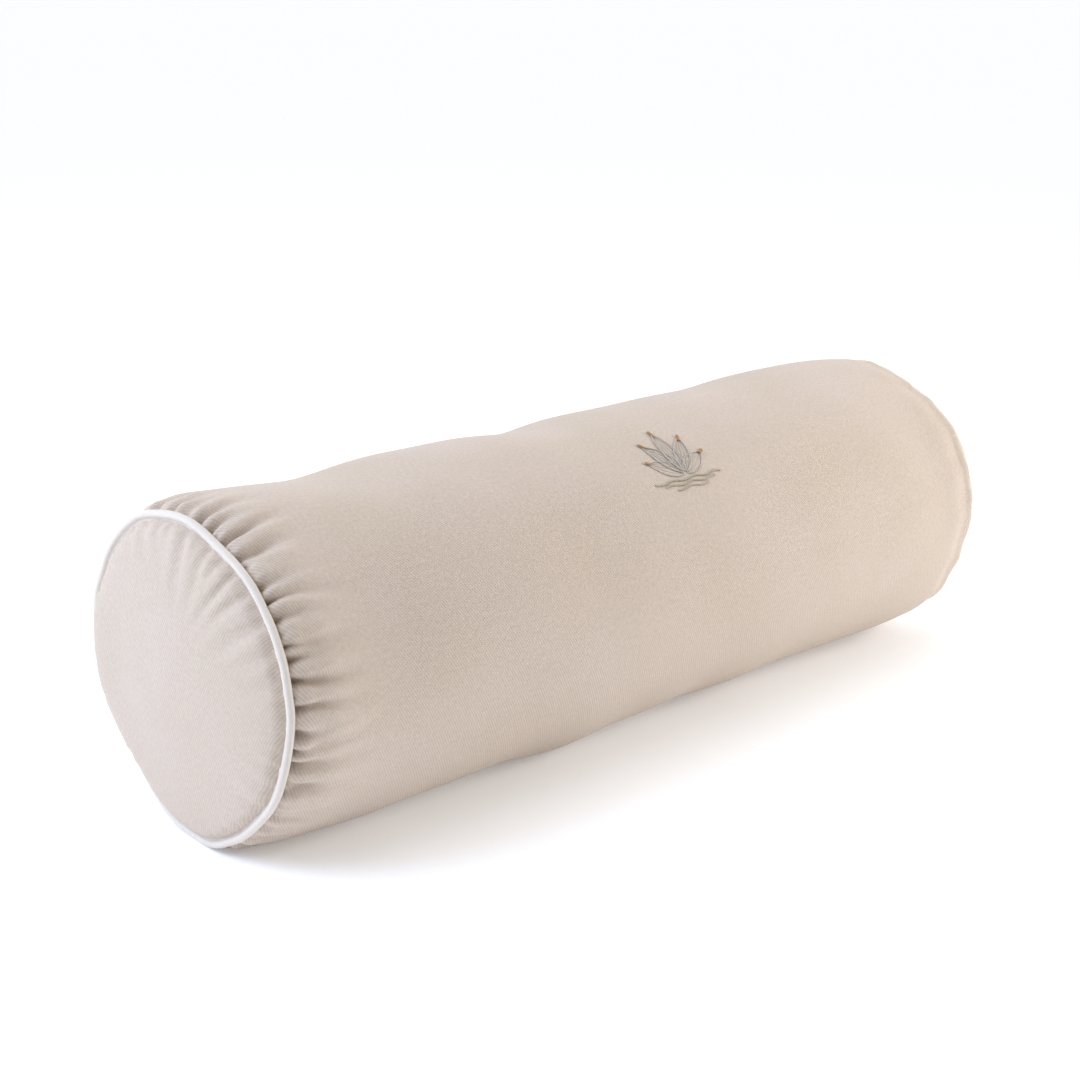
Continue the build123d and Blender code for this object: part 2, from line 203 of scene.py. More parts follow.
def body_profile(count, evenness):
    """Stations from the left seam to the right: their x, radius and distance along the cloth.

    The radius is constant in the middle and follows a circular arc down to each seam. The distance of a
    station from its seam is half the length times a blend of its share and its share squared, so that the
    stations lie closer together by the seams.
    """
    cover = settings("cover")
    slope = seam_slope()
    arc_radius = cover.shoulder / math.sin(slope)
    arc_length = arc_radius * slope
    half = arc_length + SEAM_X - cover.shoulder
    share = np.linspace(0, 1, count)
    along = half * (evenness * share + (1 - evenness) * share**2)
    turn = np.clip(slope - along / arc_radius, 0, None)
    x = SEAM_X - cover.shoulder + np.where(
        along < arc_length, arc_radius * np.sin(turn), arc_length - along
    )
    radius = BODY_RADIUS - arc_radius * (1 - np.cos(turn))
    return (
        np.concatenate([-x, x[::-1][1:]]),
        np.concatenate([radius, radius[::-1][1:]]),
        np.concatenate([along, 2 * half - along[::-1][1:]]) - half,
    )


def end_profile(count):
    """Stations from a seam to the middle of an end panel: how far outside the seam, and the radius.

    A small arc turns from the seam's slope to the dome's edge, then one large arc runs to the axis.
    """
    cover = settings("cover")
    slope = seam_slope()
    centre_x = -cover.corner * math.sin(slope)
    centre_r = cover.seam_radius - cover.corner * math.cos(slope)
    edge_x = centre_x + cover.corner * math.sin(cover.dome_edge)
    edge_r = centre_r + cover.corner * math.cos(cover.dome_edge)
    dome_radius = edge_r / math.cos(cover.dome_edge)
    dome_x = edge_x - dome_radius * math.sin(cover.dome_edge)
    corner_turns = np.linspace(slope, cover.dome_edge, count // 3)
    dome_turns = np.linspace(cover.dome_edge, math.pi / 2, count - count // 3)[1:]
    out = np.concatenate([
        centre_x + cover.corner * np.sin(corner_turns), dome_x + dome_radius * np.sin(dome_turns)
    ])
    radius = np.concatenate([
        centre_r + cover.corner * np.cos(corner_turns), dome_radius * np.cos(dome_turns)
    ])
    return out, radius


def harmonics(angle, seed, orders, height):
    """Smooth closed unevenness round the bolster: a sum of cosines with seeded phases and sizes."""
    rng = np.random.default_rng(seed)
    total = np.zeros_like(angle)
    for order in orders:
        total += rng.uniform(0.4, 1.0) * np.cos(order * angle + rng.uniform(0, TURN))
    return height * total / math.sqrt(len(orders))


# How each seam leaves its true circle, as waves round it: how often, how high in mm, and where in degrees.
SEAM_OUTWARDS = {
    -1: ((1, 0.9, 169), (2, 2.3, -79)),
    1: ((0, -3.8, 0), (1, 2.6, 195), (5, 0.4, 100)),
}
SEAM_RADIAL = {
    -1: ((1, 0.8, 56), (3, 1.1, 40), (4, 1.4, 18), (5, 0.7, -151), (9, 0.35, 60), (13, 0.3, 10)),
    1: ((2, 1.0, 70), (3, 1.2, 20), (5, 0.9, 150), (9, 0.5, 30), (14, 0.35, 90)),
}


def waves(angle, rows):
    """A sum of cosines round the bolster, each with its order, height in mm and place in degrees."""
    return sum(height * MM * np.cos(order * angle - math.radians(place)) for order, height, place in rows)


def seam_wander(angle, side):
    """How a seam leaves its true circle: outwards along the bolster, and out from the axis."""
    return waves(angle, SEAM_OUTWARDS[side]), waves(angle, SEAM_RADIAL[side]) * zip_calm(angle)


def zip_calm(angle):
    """0 beside the zip, where the cloth is held straight, rising smoothly to 1 away from it."""
    away = np.abs((angle - ZIP_ANGLE + math.pi) % TURN - math.pi) * BODY_RADIUS
    share = np.clip((away - 9 * MM) / (30 * MM), 0, 1)
    return share * share * (3 - 2 * share)


def bell(away, width):
    """A bell curve: 1 in its middle, dying away over its width."""
    return np.exp(-((away / width) ** 2))


def turn_away(angle, place):
    """Angle from a place round the bolster, the short way, with its sign."""
    return (angle - place + math.pi) % TURN - math.pi


def folds(distance, angle, seed, count, depth, longest, peak, width, strong):
    """Folds that a gathered seam throws into the cloth beside it.

    Across, each fold is a narrow bell that widens away from the seam. Along, it is nothing at the seam,
    deepest at its peak distance and dies out with its own length. The cloth swells a little between the
    folds. Their places, depths, lengths and slants are seeded. Strong gives where folds are deeper, as
    (degrees, spread in degrees, how much).
    """
    rng = np.random.default_rng(seed)
    places = (np.arange(count) + rng.uniform(-0.36, 0.36, count)) * TURN / count
    strength = rng.uniform(0.5, 0.9, count)
    for place, spread, more in strong:
        strength *= 1 + more * bell(turn_away(places, math.radians(place)), math.radians(spread))
    reach = longest * np.clip(strength * rng.uniform(0.5, 1.2, count), 0.18, 1.15)
    widths = width * rng.uniform(0.75, 1.35, count)
    slants = rng.normal(0, 0.13, count)
    curls = rng.normal(0, 0.12, count)
    seam_share = 0.92  # the seams' girth as a share of the body's
    total = np.zeros(np.broadcast(distance, angle).shape)
    for k in range(count):
        run = distance / reach[k]
        lean = slants[k] * distance + curls[k] * distance * run
        across = turn_away(angle, places[k]) * BODY_RADIUS * seam_share - lean
        spread = widths[k] * (0.6 + 1.0 * np.sqrt(distance / (20 * MM)))
        start = 1 - np.exp(-distance / peak)
        fade = np.clip(1 - run, 0, 1) ** 1.6
        crease = bell(across, spread) - 0.5 * bell(np.abs(across) - 1.9 * spread, 0.95 * spread)
        total -= strength[k] * start * fade * crease
    crest = 0.32  # a swell between folds rounds off at this share of their depth
    return depth * (np.minimum(total, 0) + crest * np.tanh(np.maximum(total, 0) / crest))


# Soft swells of the filling, in mm and degrees: x and place round, height, reach along and round.
SWELLS = (
    (-205, 105, -3.6, 40, 45), (-44, 107, -3.2, 34, 40), (200, 105, 3.4, 60, 45),
    (-62, 300, 3.6, 34, 26), (40, 305, -1.6, 30, 22), (150, 300, -1.8, 45, 22), (-215, 298, 1.6, 26, 20),
    (-235, 20, -1.6, 34, 38), (-150, 35, 1.0, 40, 40), (90, 20, 1.0, 60, 45), (260, 40, -1.6, 26, 40),
)


def lumps(x, angle):
    """Soft unevenness of the filling: the swells, and seeded waves along and round the bolster."""
    rng = np.random.default_rng(5)
    total = np.zeros(np.broadcast(x, angle).shape)
    for order in (1, 2, 2, 3, 4, 5, 7, 9, 12):
        wave = TURN * x / rng.uniform(0.07, 0.30) + rng.uniform(0, TURN)
        total += rng.uniform(0.3, 1.0) * np.cos(order * angle + rng.uniform(0, TURN)) * np.cos(wave)
    total *= settings("cover").lump / 2.2
    for middle, place, height, reach, spread in SWELLS:
        total += height * MM * bell(x - middle * MM, reach * MM) * bell(
            turn_away(angle, math.radians(place)), math.radians(spread)
        )
    return total


def to_place(x, radius, angle):
    """Points from their place along the bolster, distance from its axis and angle round it."""
    return np.stack(np.broadcast_arrays(
        x, -radius * np.cos(angle), AXIS_HEIGHT + radius * np.sin(angle)
    ), axis=-1)


def rest_on_floor(points, inset=0.0):
    """Presses the underside flat: heights that would lie under the floor round off smoothly onto it."""
    soft = 1.5 * MM
    height = points[..., 2] - inset
    depth = 4 * MM
    lowest = (np.sqrt(depth**2 + soft**2) - depth) / 2
    points[..., 2] = (height + np.sqrt(height**2 + soft**2)) / 2 - lowest * bell(height, 8 * MM) + inset
    return points


def lip_offset(x):
    """Half the gap between the panel's two long edges: open along the zip, closed past its ends."""
    trim = settings("trim")
    closing = np.clip((np.abs(x) - ZIP_END_X - 0.2 * MM) / (4 * MM), 0, 1)
    open_share = 1 - closing * closing * (3 - 2 * closing)
    return 0.15 * MM + (trim.slot - 0.15 * MM) * open_share


def body_angles(x, columns):
    """Angle round the bolster of every grid column, from the lower lip under and over to the upper lip."""
    lip = lip_offset(x)[:, None] / BODY_RADIUS
    share = np.linspace(0, 1, columns + 1)[None, :]
    return ZIP_ANGLE + lip + (TURN - 2 * lip) * share


# How far the cloth bulges over the right seam at the front: out from the axis, and past the seam.
RIM_OUT, RIM_ALONG = 2.8 * MM, 2.0 * MM


def body_grid(count, evenness, columns):
    """The body panel on a grid, before its simulation: its start points, its cut, distances and angles."""
    cover = settings("cover")
    x, radius, along = body_profile(count, evenness)
    angle = body_angles(x, columns)
    left = (along - along[0])[:, None]
    right = (along[-1] - along)[:, None]
    near = np.minimum(left, right)
    reach = radius[:, None] + zip_calm(angle) * lumps(x[:, None], angle) * (1 - bell(near, 12 * MM))
    reach -= cover.groove * (bell(near - 2.8 * MM, 1.8 * MM) - 0.5 * bell(near - 10 * MM, 5 * MM))
    front = bell(turn_away(angle, math.radians(15)), math.radians(95))
    over = zip_calm(angle) * front * bell(right - 8 * MM, 7 * MM)
    reach += RIM_OUT * over
    place = np.broadcast_to(x[:, None], angle.shape).copy()
    for side, distance in ((-1, left), (1, right)):
        outwards, radial = seam_wander(angle, side)
        hold = bell(distance, 42 * MM)
        place += side * outwards * hold
        reach += radial * hold
    place += RIM_ALONG * over
    start = to_place(place, reach - cover.cloth / 2, angle)
    cut = to_place(along[:, None], BODY_RADIUS * np.ones_like(angle), angle)
    return start, cut, x, along, angle


# ---- mesh helpers ------------------------------------------------------------------------------------
def grid_normals(points, wrap=False):
    """Unit normals of a grid surface, from the differences of its points along both directions."""
    padded = np.concatenate([points[:, -1:], points, points[:, :1]], axis=1) if wrap else points
    across = np.gradient(padded, axis=1)
    across = across[:, 1:-1] if wrap else across
    normal = np.cross(np.gradient(points, axis=0), across)
    return normal / np.maximum(np.linalg.norm(normal, axis=-1, keepdims=True), 1e-12)


def make_piece(name, points, faces, corner_uv=None):
    """A smooth mesh object from points, faces and, if given, each face corner's place on the cloth."""
    mesh = bpy.data.meshes.new(name)
    mesh.from_pydata(points.reshape(-1, 3).tolist(), [], faces)
    if corner_uv is not None:
        layer = mesh.uv_layers.new(name="cloth")
        layer.data.foreach_set("uv", np.asarray(corner_uv, np.float32).ravel())
    mesh.polygons.foreach_set("use_smooth", np.ones(len(mesh.polygons), bool))
    mesh.update()
    piece = bpy.data.objects.new(name, mesh)
    bpy.context.scene.collection.objects.link(piece)
    return piece


def grid_corners(rows, columns, wrap):
    """Row and column of the four corners of every cell of a grid, one past the last column if it wraps."""
    cells = columns if wrap else columns - 1
    row, column = np.meshgrid(np.arange(rows - 1), np.arange(cells), indexing="ij")
    row, column = row.ravel(), column.ravel()
    rows_of = np.stack([row, row, row + 1, row + 1], 1)
    columns_of = np.stack([column, column + 1, column + 1, column], 1)
    return rows_of, columns_of


def grid_piece(name, points, uv, wrap=False, flip=False):
    """A grid surface as a piece. Its uv grid has one more column than its points if it wraps."""
    rows, columns = points.shape[:2]
    row, column = grid_corners(rows, columns, wrap)
    if flip:
        row, column = row[:, ::-1], column[:, ::-1]
    faces = row * columns + column % columns
    return make_piece(name, points, faces.tolist(), uv[row.ravel(), column.ravel()])


def disc_piece(name, rings, centre, flip):
    """Rings of points closed by one centre point, with the cloth laid flat across the bolster's end."""
    rows, columns = rings.shape[:2]
    row, column = grid_corners(rows, columns, True)
    quads = row * columns + column % columns
    last = (rows - 1) * columns
    step = np.arange(columns)
    fan = np.stack([last + step, last + (step + 1) % columns, np.full(columns, rows * columns)], 1)
    if flip:
        quads, fan = quads[:, ::-1], fan[:, ::-1]
    points = np.concatenate([rings.reshape(-1, 3), centre[None]])
    corner_uv = np.concatenate([points[quads.ravel()][:, 1:], points[fan.ravel()][:, 1:]])
    return make_piece(name, points, quads.tolist() + fan.tolist(), corner_uv)


def tube_piece(name, paths, radius, sides, closed):
    """Round tubes along paths, (paths, stations, 3): a circle carried at right angles to each path.

    Open tubes get rounded ends: their last rings shrink to a small circle that a face closes.
    """
    many, stations = paths.shape[:2]
    if closed:
        ahead = np.roll(paths, -1, axis=1) - np.roll(paths, 1, axis=1)
    else:
        ahead = np.gradient(paths, axis=1)
    ahead /= np.maximum(np.linalg.norm(ahead, axis=-1, keepdims=True), 1e-12)
    axis_point = np.array([0, 0, AXIS_HEIGHT])
    out = paths - axis_point
    out[..., 0] *= 0.35
    side = np.cross(ahead, out)
    side /= np.maximum(np.linalg.norm(side, axis=-1, keepdims=True), 1e-12)
    up = np.cross(side, ahead)
    turn = np.arange(sides) * TURN / sides
    size = np.full(stations, 1.0)
    if not closed:
        size[0] = size[-1] = 0.45
    cosine, sine = (wave(turn)[None, None, :, None] for wave in (np.cos, np.sin))
    ring = radius * (cosine * side[:, :, None] + sine * up[:, :, None])
    points = paths[:, :, None] + ring * size[None, :, None, None]
    row, column = grid_corners(stations + 1 if closed else stations, sides, True)
    cells = (row % stations) * sides + column % sides
    start = (np.arange(many) * stations * sides)[:, None, None]
    faces = (cells[None] + start).reshape(-1, 4)[:, ::-1].tolist()
    length = np.linalg.norm(np.diff(paths[0], axis=0), axis=-1).mean()
    uv = np.stack([row * length, column * TURN * radius / sides], -1)[:, ::-1]
    corner_uv = np.tile(uv.reshape(-1, 2), (many, 1))
    if not closed:
        cap = np.arange(sides)
        first = (start[:, :, 0] + cap[None, :])
        last = (start[:, :, 0] + (stations - 1) * sides + cap[None, ::-1])
        faces += first.tolist() + last.tolist()
        corner_uv = np.concatenate([corner_uv, np.zeros((2 * many * sides, 2))])
    return make_piece(name, points, faces, corner_uv)


def thicken(piece, thickness):
    """Gives a sheet its real thickness, half on each side."""
    solidify = piece.modifiers.new("cloth_thickness", "SOLIDIFY")
    solidify.thickness = thickness
    solidify.offset = 0
    solidify.use_even_offset = False


def finish_piece(piece, material, slot, *nodes, body="bolster"):
    """Gives a piece its material, and says what it rides on and stands for. Its slot is not used."""
    piece.data.materials.append(material)
    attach(piece, body)
    if nodes:
        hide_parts(*nodes)
    return piece


def finish_node(name, material):
    """Gives a CAD node, which stays as it is, its material."""
    node_object = frame["nodes"][name]
    if not node_object.material_slots:
        node_object.data.materials.append(material)
    for place in node_object.material_slots:
        place.material = material


# ---- materials ---------------------------------------------------------------------------------------
def new_material(name):
    """An empty material: its node tree and its shader."""
    material = bpy.data.materials.new(name)
    material.use_nodes = True
    tree = material.node_tree
    return material, tree, tree.nodes["Principled BSDF"]


def add_node(tree, kind, inputs=None, **properties):
    """Adds a node: its properties, and its inputs as values or as the outputs that feed them."""
    made = tree.nodes.new("ShaderNode" + kind)
    for key, value in properties.items():
        setattr(made, key, value)
    for key, value in (inputs or {}).items():
        if isinstance(value, bpy.types.NodeSocket):
            tree.links.new(value, made.inputs[key])
        else:
            made.inputs[key].default_value = value
    return made


def set_shader(shader, **values):
    """Sets constant values on the shader's own sockets."""
    for key, value in values.items():
        shader.inputs[key.replace("_", " ")].default_value = value


def bands(tree, place, pitch, turn, bend=0.0, bend_scale=1.0):
    """Parallel sine bands of a real pitch, turned by an angle, on a cloth's own coordinates."""
    turned = add_node(tree, "Mapping", {"Vector": place, "Rotation": (0, 0, turn)})
    return add_node(tree, "TexWave", {
        "Vector": turned.outputs["Vector"], "Scale": TURN / 20 / pitch, "Distortion": bend,
        "Detail": 1.0, "Detail Scale": bend_scale,
    }, wave_type="BANDS", bands_direction="X", wave_profile="SIN")


def mix(tree, factor, first, second, blend="MIX"):
    """Mixes two colours and returns the result's socket."""
    made = add_node(tree, "Mix", {0: factor, 6: first, 7: second}, data_type="RGBA", blend_type=blend)
    return made.outputs[2]


def noise(tree, place, scale, detail):
    """Random cloudiness, its scale in cells to the metre."""
    return add_node(tree, "TexNoise", {"Vector": place, "Scale": scale, "Detail": detail}).outputs["Fac"]


def calculate(tree, operation, *values, clamp=False):
    """One step of arithmetic on values or sockets."""
    made = add_node(tree, "Math", dict(enumerate(values)), operation=operation, use_clamp=clamp)
    return made.outputs[0]


def spread_to(tree, value, low, high, source=(0.3, 0.7)):
    """Maps the range in which a value lies onto another."""
    return add_node(tree, "MapRange", {
        "Value": value, "From Min": source[0], "From Max": source[1], "To Min": low, "To Max": high
    }).outputs["Result"]


def darker(colour, share):
    """A colour dimmed to a share of itself."""
    return [c * share for c in colour[:3]] + [1.0]


def relief(tree, shader, height, strength, distance):
    """Gives the shader fine relief, whose depth is a distance in metres."""
    bump = add_node(tree, "Bump", {"Strength": strength, "Distance": distance, "Height": height})
    tree.links.new(bump.outputs["Normal"], shader.inputs["Normal"])


def twill_cotton():
    """Brushed cotton twill: matt, with fine diagonal ribs and a faint fuzz that lightens its edges.

    Real ribs are about 0.9 mm apart. They are drawn a little coarser, so that they show from a metre away.
    The valleys between the ribs are bumped, and their colour is darkened as painted shade.
    """
    cover = settings("cover")
    material, tree, shader = new_material("twill_cotton")
    place = add_node(tree, "UVMap", uv_map="cloth").outputs["UV"]
    ribs = bands(tree, place, cover.rib, math.radians(-30), 1.0, 60.0).outputs["Fac"]
    floats = bands(tree, place, cover.rib * 0.8, math.radians(75)).outputs["Fac"]
    weave = calculate(tree, "MULTIPLY_ADD", floats, 0.35, ribs)
    slub = noise(tree, place, 420.0, 3.0)
    cloudy = noise(tree, place, 14.0, 2.0)
    # painted shade: the colour darkens from the ribs into the valleys between them, by the same weave that
    # drives the bump
    share = spread_to(tree, weave, 0.50, 1.0, (0.1, 1.25))
    base = mix(tree, share, cover.painted_rib_shade, cover.colour)
    spotted = spread_to(tree, slub, 0.93, 1.045)
    clouds = spread_to(tree, cloudy, 0.975, 1.02)
    tone = calculate(tree, "MULTIPLY", spotted, clouds)
    cool = spread_to(tree, cloudy, 0.975, 1.025)
    blue = calculate(tree, "MULTIPLY", tone, cool)
    grey = add_node(tree, "CombineColor", {0: tone, 1: tone, 2: blue}).outputs[0]
    tree.links.new(mix(tree, 1.0, base, grey, "MULTIPLY"), shader.inputs["Base Color"])
    relief(tree, shader, calculate(tree, "MULTIPLY_ADD", slub, 0.5, weave), 0.55, 0.12 * MM)
    set_shader(shader, Roughness=0.88, IOR=1.45, Specular_IOR_Level=0.25)
    set_shader(shader, Sheen_Weight=0.18, Sheen_Roughness=0.45)
    return material


def plain_weave(name, colour, pitch, depth, roughness=0.85, coordinates="UVMap"):
    """Plain-woven cloth: warp and weft cross at right angles, so two sets of fine bands multiply. Between the
    threads the colour is darkened as painted shade, mixed with random fuzz.
    """
    material, tree, shader = new_material(name)
    if coordinates == "UVMap":
        place = add_node(tree, "UVMap", uv_map="cloth").outputs["UV"]
    else:
        place = add_node(tree, "TexCoord").outputs["Object"]
    warp = bands(tree, place, pitch, math.radians(45)).outputs["Fac"]
    weft = bands(tree, place, pitch, math.radians(-45)).outputs["Fac"]
    weave = calculate(tree, "MULTIPLY", warp, weft)
    fuzz = noise(tree, place, 500.0, 2.0)
    share = calculate(tree, "MULTIPLY_ADD", fuzz, 0.4, weave, clamp=True)
    # painted shade: darker colour in the gaps between the crossing threads, partly random fuzz; the bump
    # below uses the same mask
    tree.links.new(mix(tree, share, darker(colour, 0.86), colour), shader.inputs["Base Color"])
    relief(tree, shader, share, 0.6, depth)
    set_shader(shader, Roughness=roughness, IOR=1.45, Specular_IOR_Level=0.25)
    set_shader(shader, Sheen_Weight=0.12, Sheen_Roughness=0.5)
    return material


def twisted_thread(name, colour, roughness, sheen, pitch=0.5 * MM):
    """Spun or filament thread: fine slanting bands are the twist of its plies. The grooves between the plies
    are bumped and their colour is darkened as painted shade.
    """
    material, tree, shader = new_material(name)
    place = add_node(tree, "UVMap", uv_map="cloth").outputs["UV"]
    twist = bands(tree, place, pitch, math.radians(38)).outputs["Fac"]
    # painted shade: the colour darkens in the grooves between the plies
    tree.links.new(mix(tree, twist, darker(colour, 0.72), colour), shader.inputs["Base Color"])
    relief(tree, shader, twist, 0.5, 0.05 * MM)
    set_shader(shader, Roughness=roughness, IOR=1.5, Sheen_Weight=sheen, Sheen_Roughness=0.4)
    return material


def drawn_nylon(colour):
    """Nylon monofilament, drawn and heat-set: smooth, slightly clouded and a little translucent."""
    material, tree, shader = new_material("drawn_nylon")
    place = add_node(tree, "TexCoord").outputs["Object"]
    cloud = noise(tree, place, 300.0, 2.0)
    tree.links.new(mix(tree, cloud, darker(colour, 0.9), colour), shader.inputs["Base Color"])
    tree.links.new(spread_to(tree, cloud, 0.32, 0.48, (0.0, 1.0)), shader.inputs["Roughness"])
    set_shader(shader, IOR=1.53, Subsurface_Weight=0.1, Subsurface_Scale=0.4 * MM)
    return material


def nickel_plate(colour):
    """Nickel-plated die-cast zinc: bright metal, rubbed to a fine random haze by handling."""
    material, tree, shader = new_material("nickel_plated_zinc")
    place = add_node(tree, "TexCoord").outputs["Object"]
    rubbed = noise(tree, place, 900.0, 4.0)
    patches = noise(tree, place, 140.0, 2.0)
    tree.links.new(mix(tree, patches, darker(colour, 0.82), colour), shader.inputs["Base Color"])
    tree.links.new(spread_to(tree, rubbed, 0.2, 0.38), shader.inputs["Roughness"])
    relief(tree, shader, rubbed, 0.15, 0.02 * MM)
    set_shader(shader, Metallic=1.0)
    return material


def soft_fibre(name, colour, scale):
    """Loose or bonded fibre: a matt tangle, drawn as stretched fine noise."""
    material, tree, shader = new_material(name)
    place = add_node(tree, "TexCoord").outputs["Object"]
    stretched = add_node(tree, "Mapping", {"Vector": place, "Scale": (1.0, 3.0, 1.5)}).outputs["Vector"]
    tangle = noise(tree, stretched, scale, 6.0)
    tree.links.new(mix(tree, tangle, darker(colour, 0.85), colour), shader.inputs["Base Color"])
    relief(tree, shader, tangle, 0.8, 0.4 * MM)
    set_shader(shader, Roughness=0.95, Sheen_Weight=0.2)
    return material


# ---- cloth simulation --------------------------------------------------------------------------------
def simulate_panel(start, cut):
    """Lets the filling's pressure settle the body panel, and returns where its grid points end up.

    The cloth keeps the lengths of its cut, a plain tube as wide as the body, while its ends are held to
    the smaller seams and its long edges to the zip. What is too much there buckles into soft gathers.
    """
    cover = settings("cover")
    rows, columns = start.shape[:2]
    sheet = grid_piece("panel_in_simulation", start, np.zeros((rows, columns, 2)), flip=True)
    sheet.shape_key_add(name="start")
    key = sheet.shape_key_add(name="cut")
    key.data.foreach_set("co", cut.astype(np.float32).ravel())
    number = np.arange(rows * columns).reshape(rows, columns)
    held = np.zeros((rows, columns), bool)
    held[[0, -1]] = True
    held[:, :3] = True
    held[:, -3:] = True
    group = sheet.vertex_groups.new(name="held")
    group.add(number[held].tolist(), 1.0, "REPLACE")
    cloth = sheet.modifiers.new("cloth", "CLOTH")
    cloth.settings.vertex_group_mass = "held"
    cloth.settings.rest_shape_key = key
    cloth.settings.quality = 6
    cloth.settings.mass = 0.15
    cloth.settings.tension_stiffness = 40
    cloth.settings.compression_stiffness = 40
    cloth.settings.shear_stiffness = 12
    cloth.settings.bending_stiffness = 1.5
    cloth.settings.use_pressure = True
    cloth.settings.uniform_pressure_force = cover.pressure
    cloth.settings.effector_weights.gravity = 0
    cloth.collision_settings.use_collision = False
    cloth.point_cache.frame_start = 1
    cloth.point_cache.frame_end = cover.frames
    for step in range(1, cover.frames + 1):
        bpy.context.scene.frame_set(step)
    settled = sheet.evaluated_get(bpy.context.evaluated_depsgraph_get()).to_mesh()
    points = np.zeros(rows * columns * 3, np.float32)
    settled.vertices.foreach_get("co", points)
    bpy.data.objects.remove(sheet)
    bpy.context.scene.frame_set(1)
    return points.reshape(start.shape).astype(float)


# ---- the cover's settled surface, which the stitching and embroidery follow --------------------------
COVER = {}


def resample(grid, places, axis):
    """Values at places between a grid's rows or columns, by Catmull-Rom cubics through four neighbours."""
    grid = np.moveaxis(grid, axis, 0)
    last = len(grid) - 1
    low = np.clip(places.astype(int), 0, last - 1)
    part = (places - low).reshape(-1, *[1] * (grid.ndim - 1))
    before, first, second, after = (grid[np.clip(low + step, 0, last)] for step in (-1, 0, 1, 2))
    bend = 2 * before - 5 * first + 4 * second - after
    twist = 3 * (first - second) + after - before
    found = first + part / 2 * (second - before + part * (bend + part * twist))
    return np.moveaxis(found, 0, axis)


def simulated_move(along, columns):
    """How far the simulation moves the cloth: found on a coarse grid, read at a finer one's points.

    A large move rounds off at a limit, by a hyperbolic tangent.
    """
    coarse_rows, coarse_columns = 34, 168  # rows from a seam to the middle, columns all the way round
    limit = 4 * MM
    start, cut, _, coarse_along, _ = body_grid(coarse_rows, 0.5, coarse_columns)
    move = simulate_panel(start, cut) - start
    size = np.linalg.norm(move, axis=-1, keepdims=True)
    move *= np.tanh(size / limit) * limit / np.maximum(size, 1e-9)
    rows = np.interp(along, coarse_along, np.arange(len(coarse_along)))
    return resample(resample(move, rows, 0), np.linspace(0, coarse_columns, columns + 1), 1)


def settle_cover():
    """The gathers come after the simulation, along the grid's own outward directions, because they are finer
    than the simulation's cells.
    """
    cover = settings("cover")
    points, _, x, along, angle = body_grid(cover.rows, 0.25, cover.columns)
    points = points + simulated_move(along, cover.columns)
    left, right = (along - along[0])[:, None], (along[-1] - along)[:, None]
    gathers = folds(
        left, angle, 3, cover.gathers, cover.gather_depth, cover.gather_length, 2.4 * MM, 2.15 * MM,
        ((8, 22, 0.9), (60, 22, 0.5), (335, 14, 0.3), (250, 30, 0.4)),
    )
    # a shallow crease that wavers along the front of the right seam
    crease_depth, crease_width = 0.7 * MM, 2.0 * MM
    crease_run = right - 13.5 * MM - 1.5 * MM * np.sin(3 * angle)
    crease_front = bell(turn_away(angle, math.radians(25)), math.radians(24))
    gathers -= crease_depth * (crease_front * bell(crease_run, crease_width))
    # the right seam's folds are fewer, shallower and wider
    gathers += folds(
        right, angle, 4, cover.gathers - 22, cover.gather_depth * 0.42, cover.gather_length * 0.9,
        8 * MM, 4.6 * MM, ((75, 20, 0.6), (-15, 20, 0.6), (200, 25, 0.6)),
    )
    calm = zip_calm(angle)
    points = points + grid_normals(points) * (calm * gathers)[..., None]
    COVER["points"] = rest_on_floor(points, cover.cloth / 2)
    COVER["normals"] = grid_normals(COVER["points"])
    COVER["x"] = x
    COVER["angle"] = angle


def over_cover(x, angle, lift):
    """Points over the settled cover, each at its own height: read at two heights and carried on."""
    low = on_cover(x, angle, 0.0)
    high = on_cover(x, angle, 1 * MM)
    return low + (high - low) / MM * lift[..., None]


def on_cover(x, angle, lift):
    """Points on the settled cover at a place and angle, lifted off it: read from its grid in between."""
    stations, angles = COVER["x"], COVER["angle"]
    rows, columns = angles.shape
    row = np.interp(x, stations, np.arange(rows))
    low_row = np.clip(row.astype(int), 0, rows - 2)
    part_row = (row - low_row)[..., None]
    found = 0
    for step, weight in ((0, 1 - part_row), (1, part_row)):
        at = low_row + step
        first, last = angles[at, 0], angles[at, -1]
        turned = (angle - first) % TURN
        column = turned / (last - first) * (columns - 1)
        low = np.clip(column.astype(int), 0, columns - 2)
        part = (column - low)[..., None]
        surface = COVER["points"] + COVER["normals"] * lift
        found = found + weight * (surface[at, low] * (1 - part) + surface[at, low + 1] * part)
    return found


# ---- operators ---------------------------------------------------------------------------------------
class BOLSTER_OT_cover_body(bpy.types.Operator):
    """Makes the cover's body panel: gathered, simulated, with its edges turned in"""

    bl_idname = "bolster.cover_body"
    bl_label = "Cover body panel"

    def execute(self, context):
        cover = settings("cover")
        settle_cover()
        points, normals = COVER["points"], COVER["normals"]
        rows, columns = points.shape[:2]
        row, in_rows = self.with_turned_edges(rows, 8)
        column, in_columns = self.with_turned_edges(columns, 7)
        inset = (in_rows[:, None] + in_columns[None, :]) * cover.fold
        sheet = points[row][:, column] - normals[row][:, column] * inset[..., None]
        middle = sheet.mean(1)
        along = np.cumsum(np.linalg.norm(np.diff(middle, axis=0, prepend=middle[:1]), axis=-1))
        round_it = np.arange(len(column)) * TURN * BODY_RADIUS / columns
        uv = np.stack(np.meshgrid(along, round_it, indexing="ij"), -1)
        piece = grid_piece("cover_body", sheet, uv, flip=True)
        thicken(piece, cover.cloth * 0.95)
        finish_piece(piece, MATERIALS["twill"], "cover_twill", "cover_body_panel")
        return {"FINISHED"}

    def with_turned_edges(self, count, turned):
        """A grid's lines run back at both ends, and 1 where a line belongs to such a turned edge."""
        back = np.arange(turned)
        lines = np.concatenate([back[::-1], np.arange(count), count - 1 - back])
        inside = np.concatenate([np.ones(turned), np.zeros(count), np.ones(turned)])
        return lines, inside


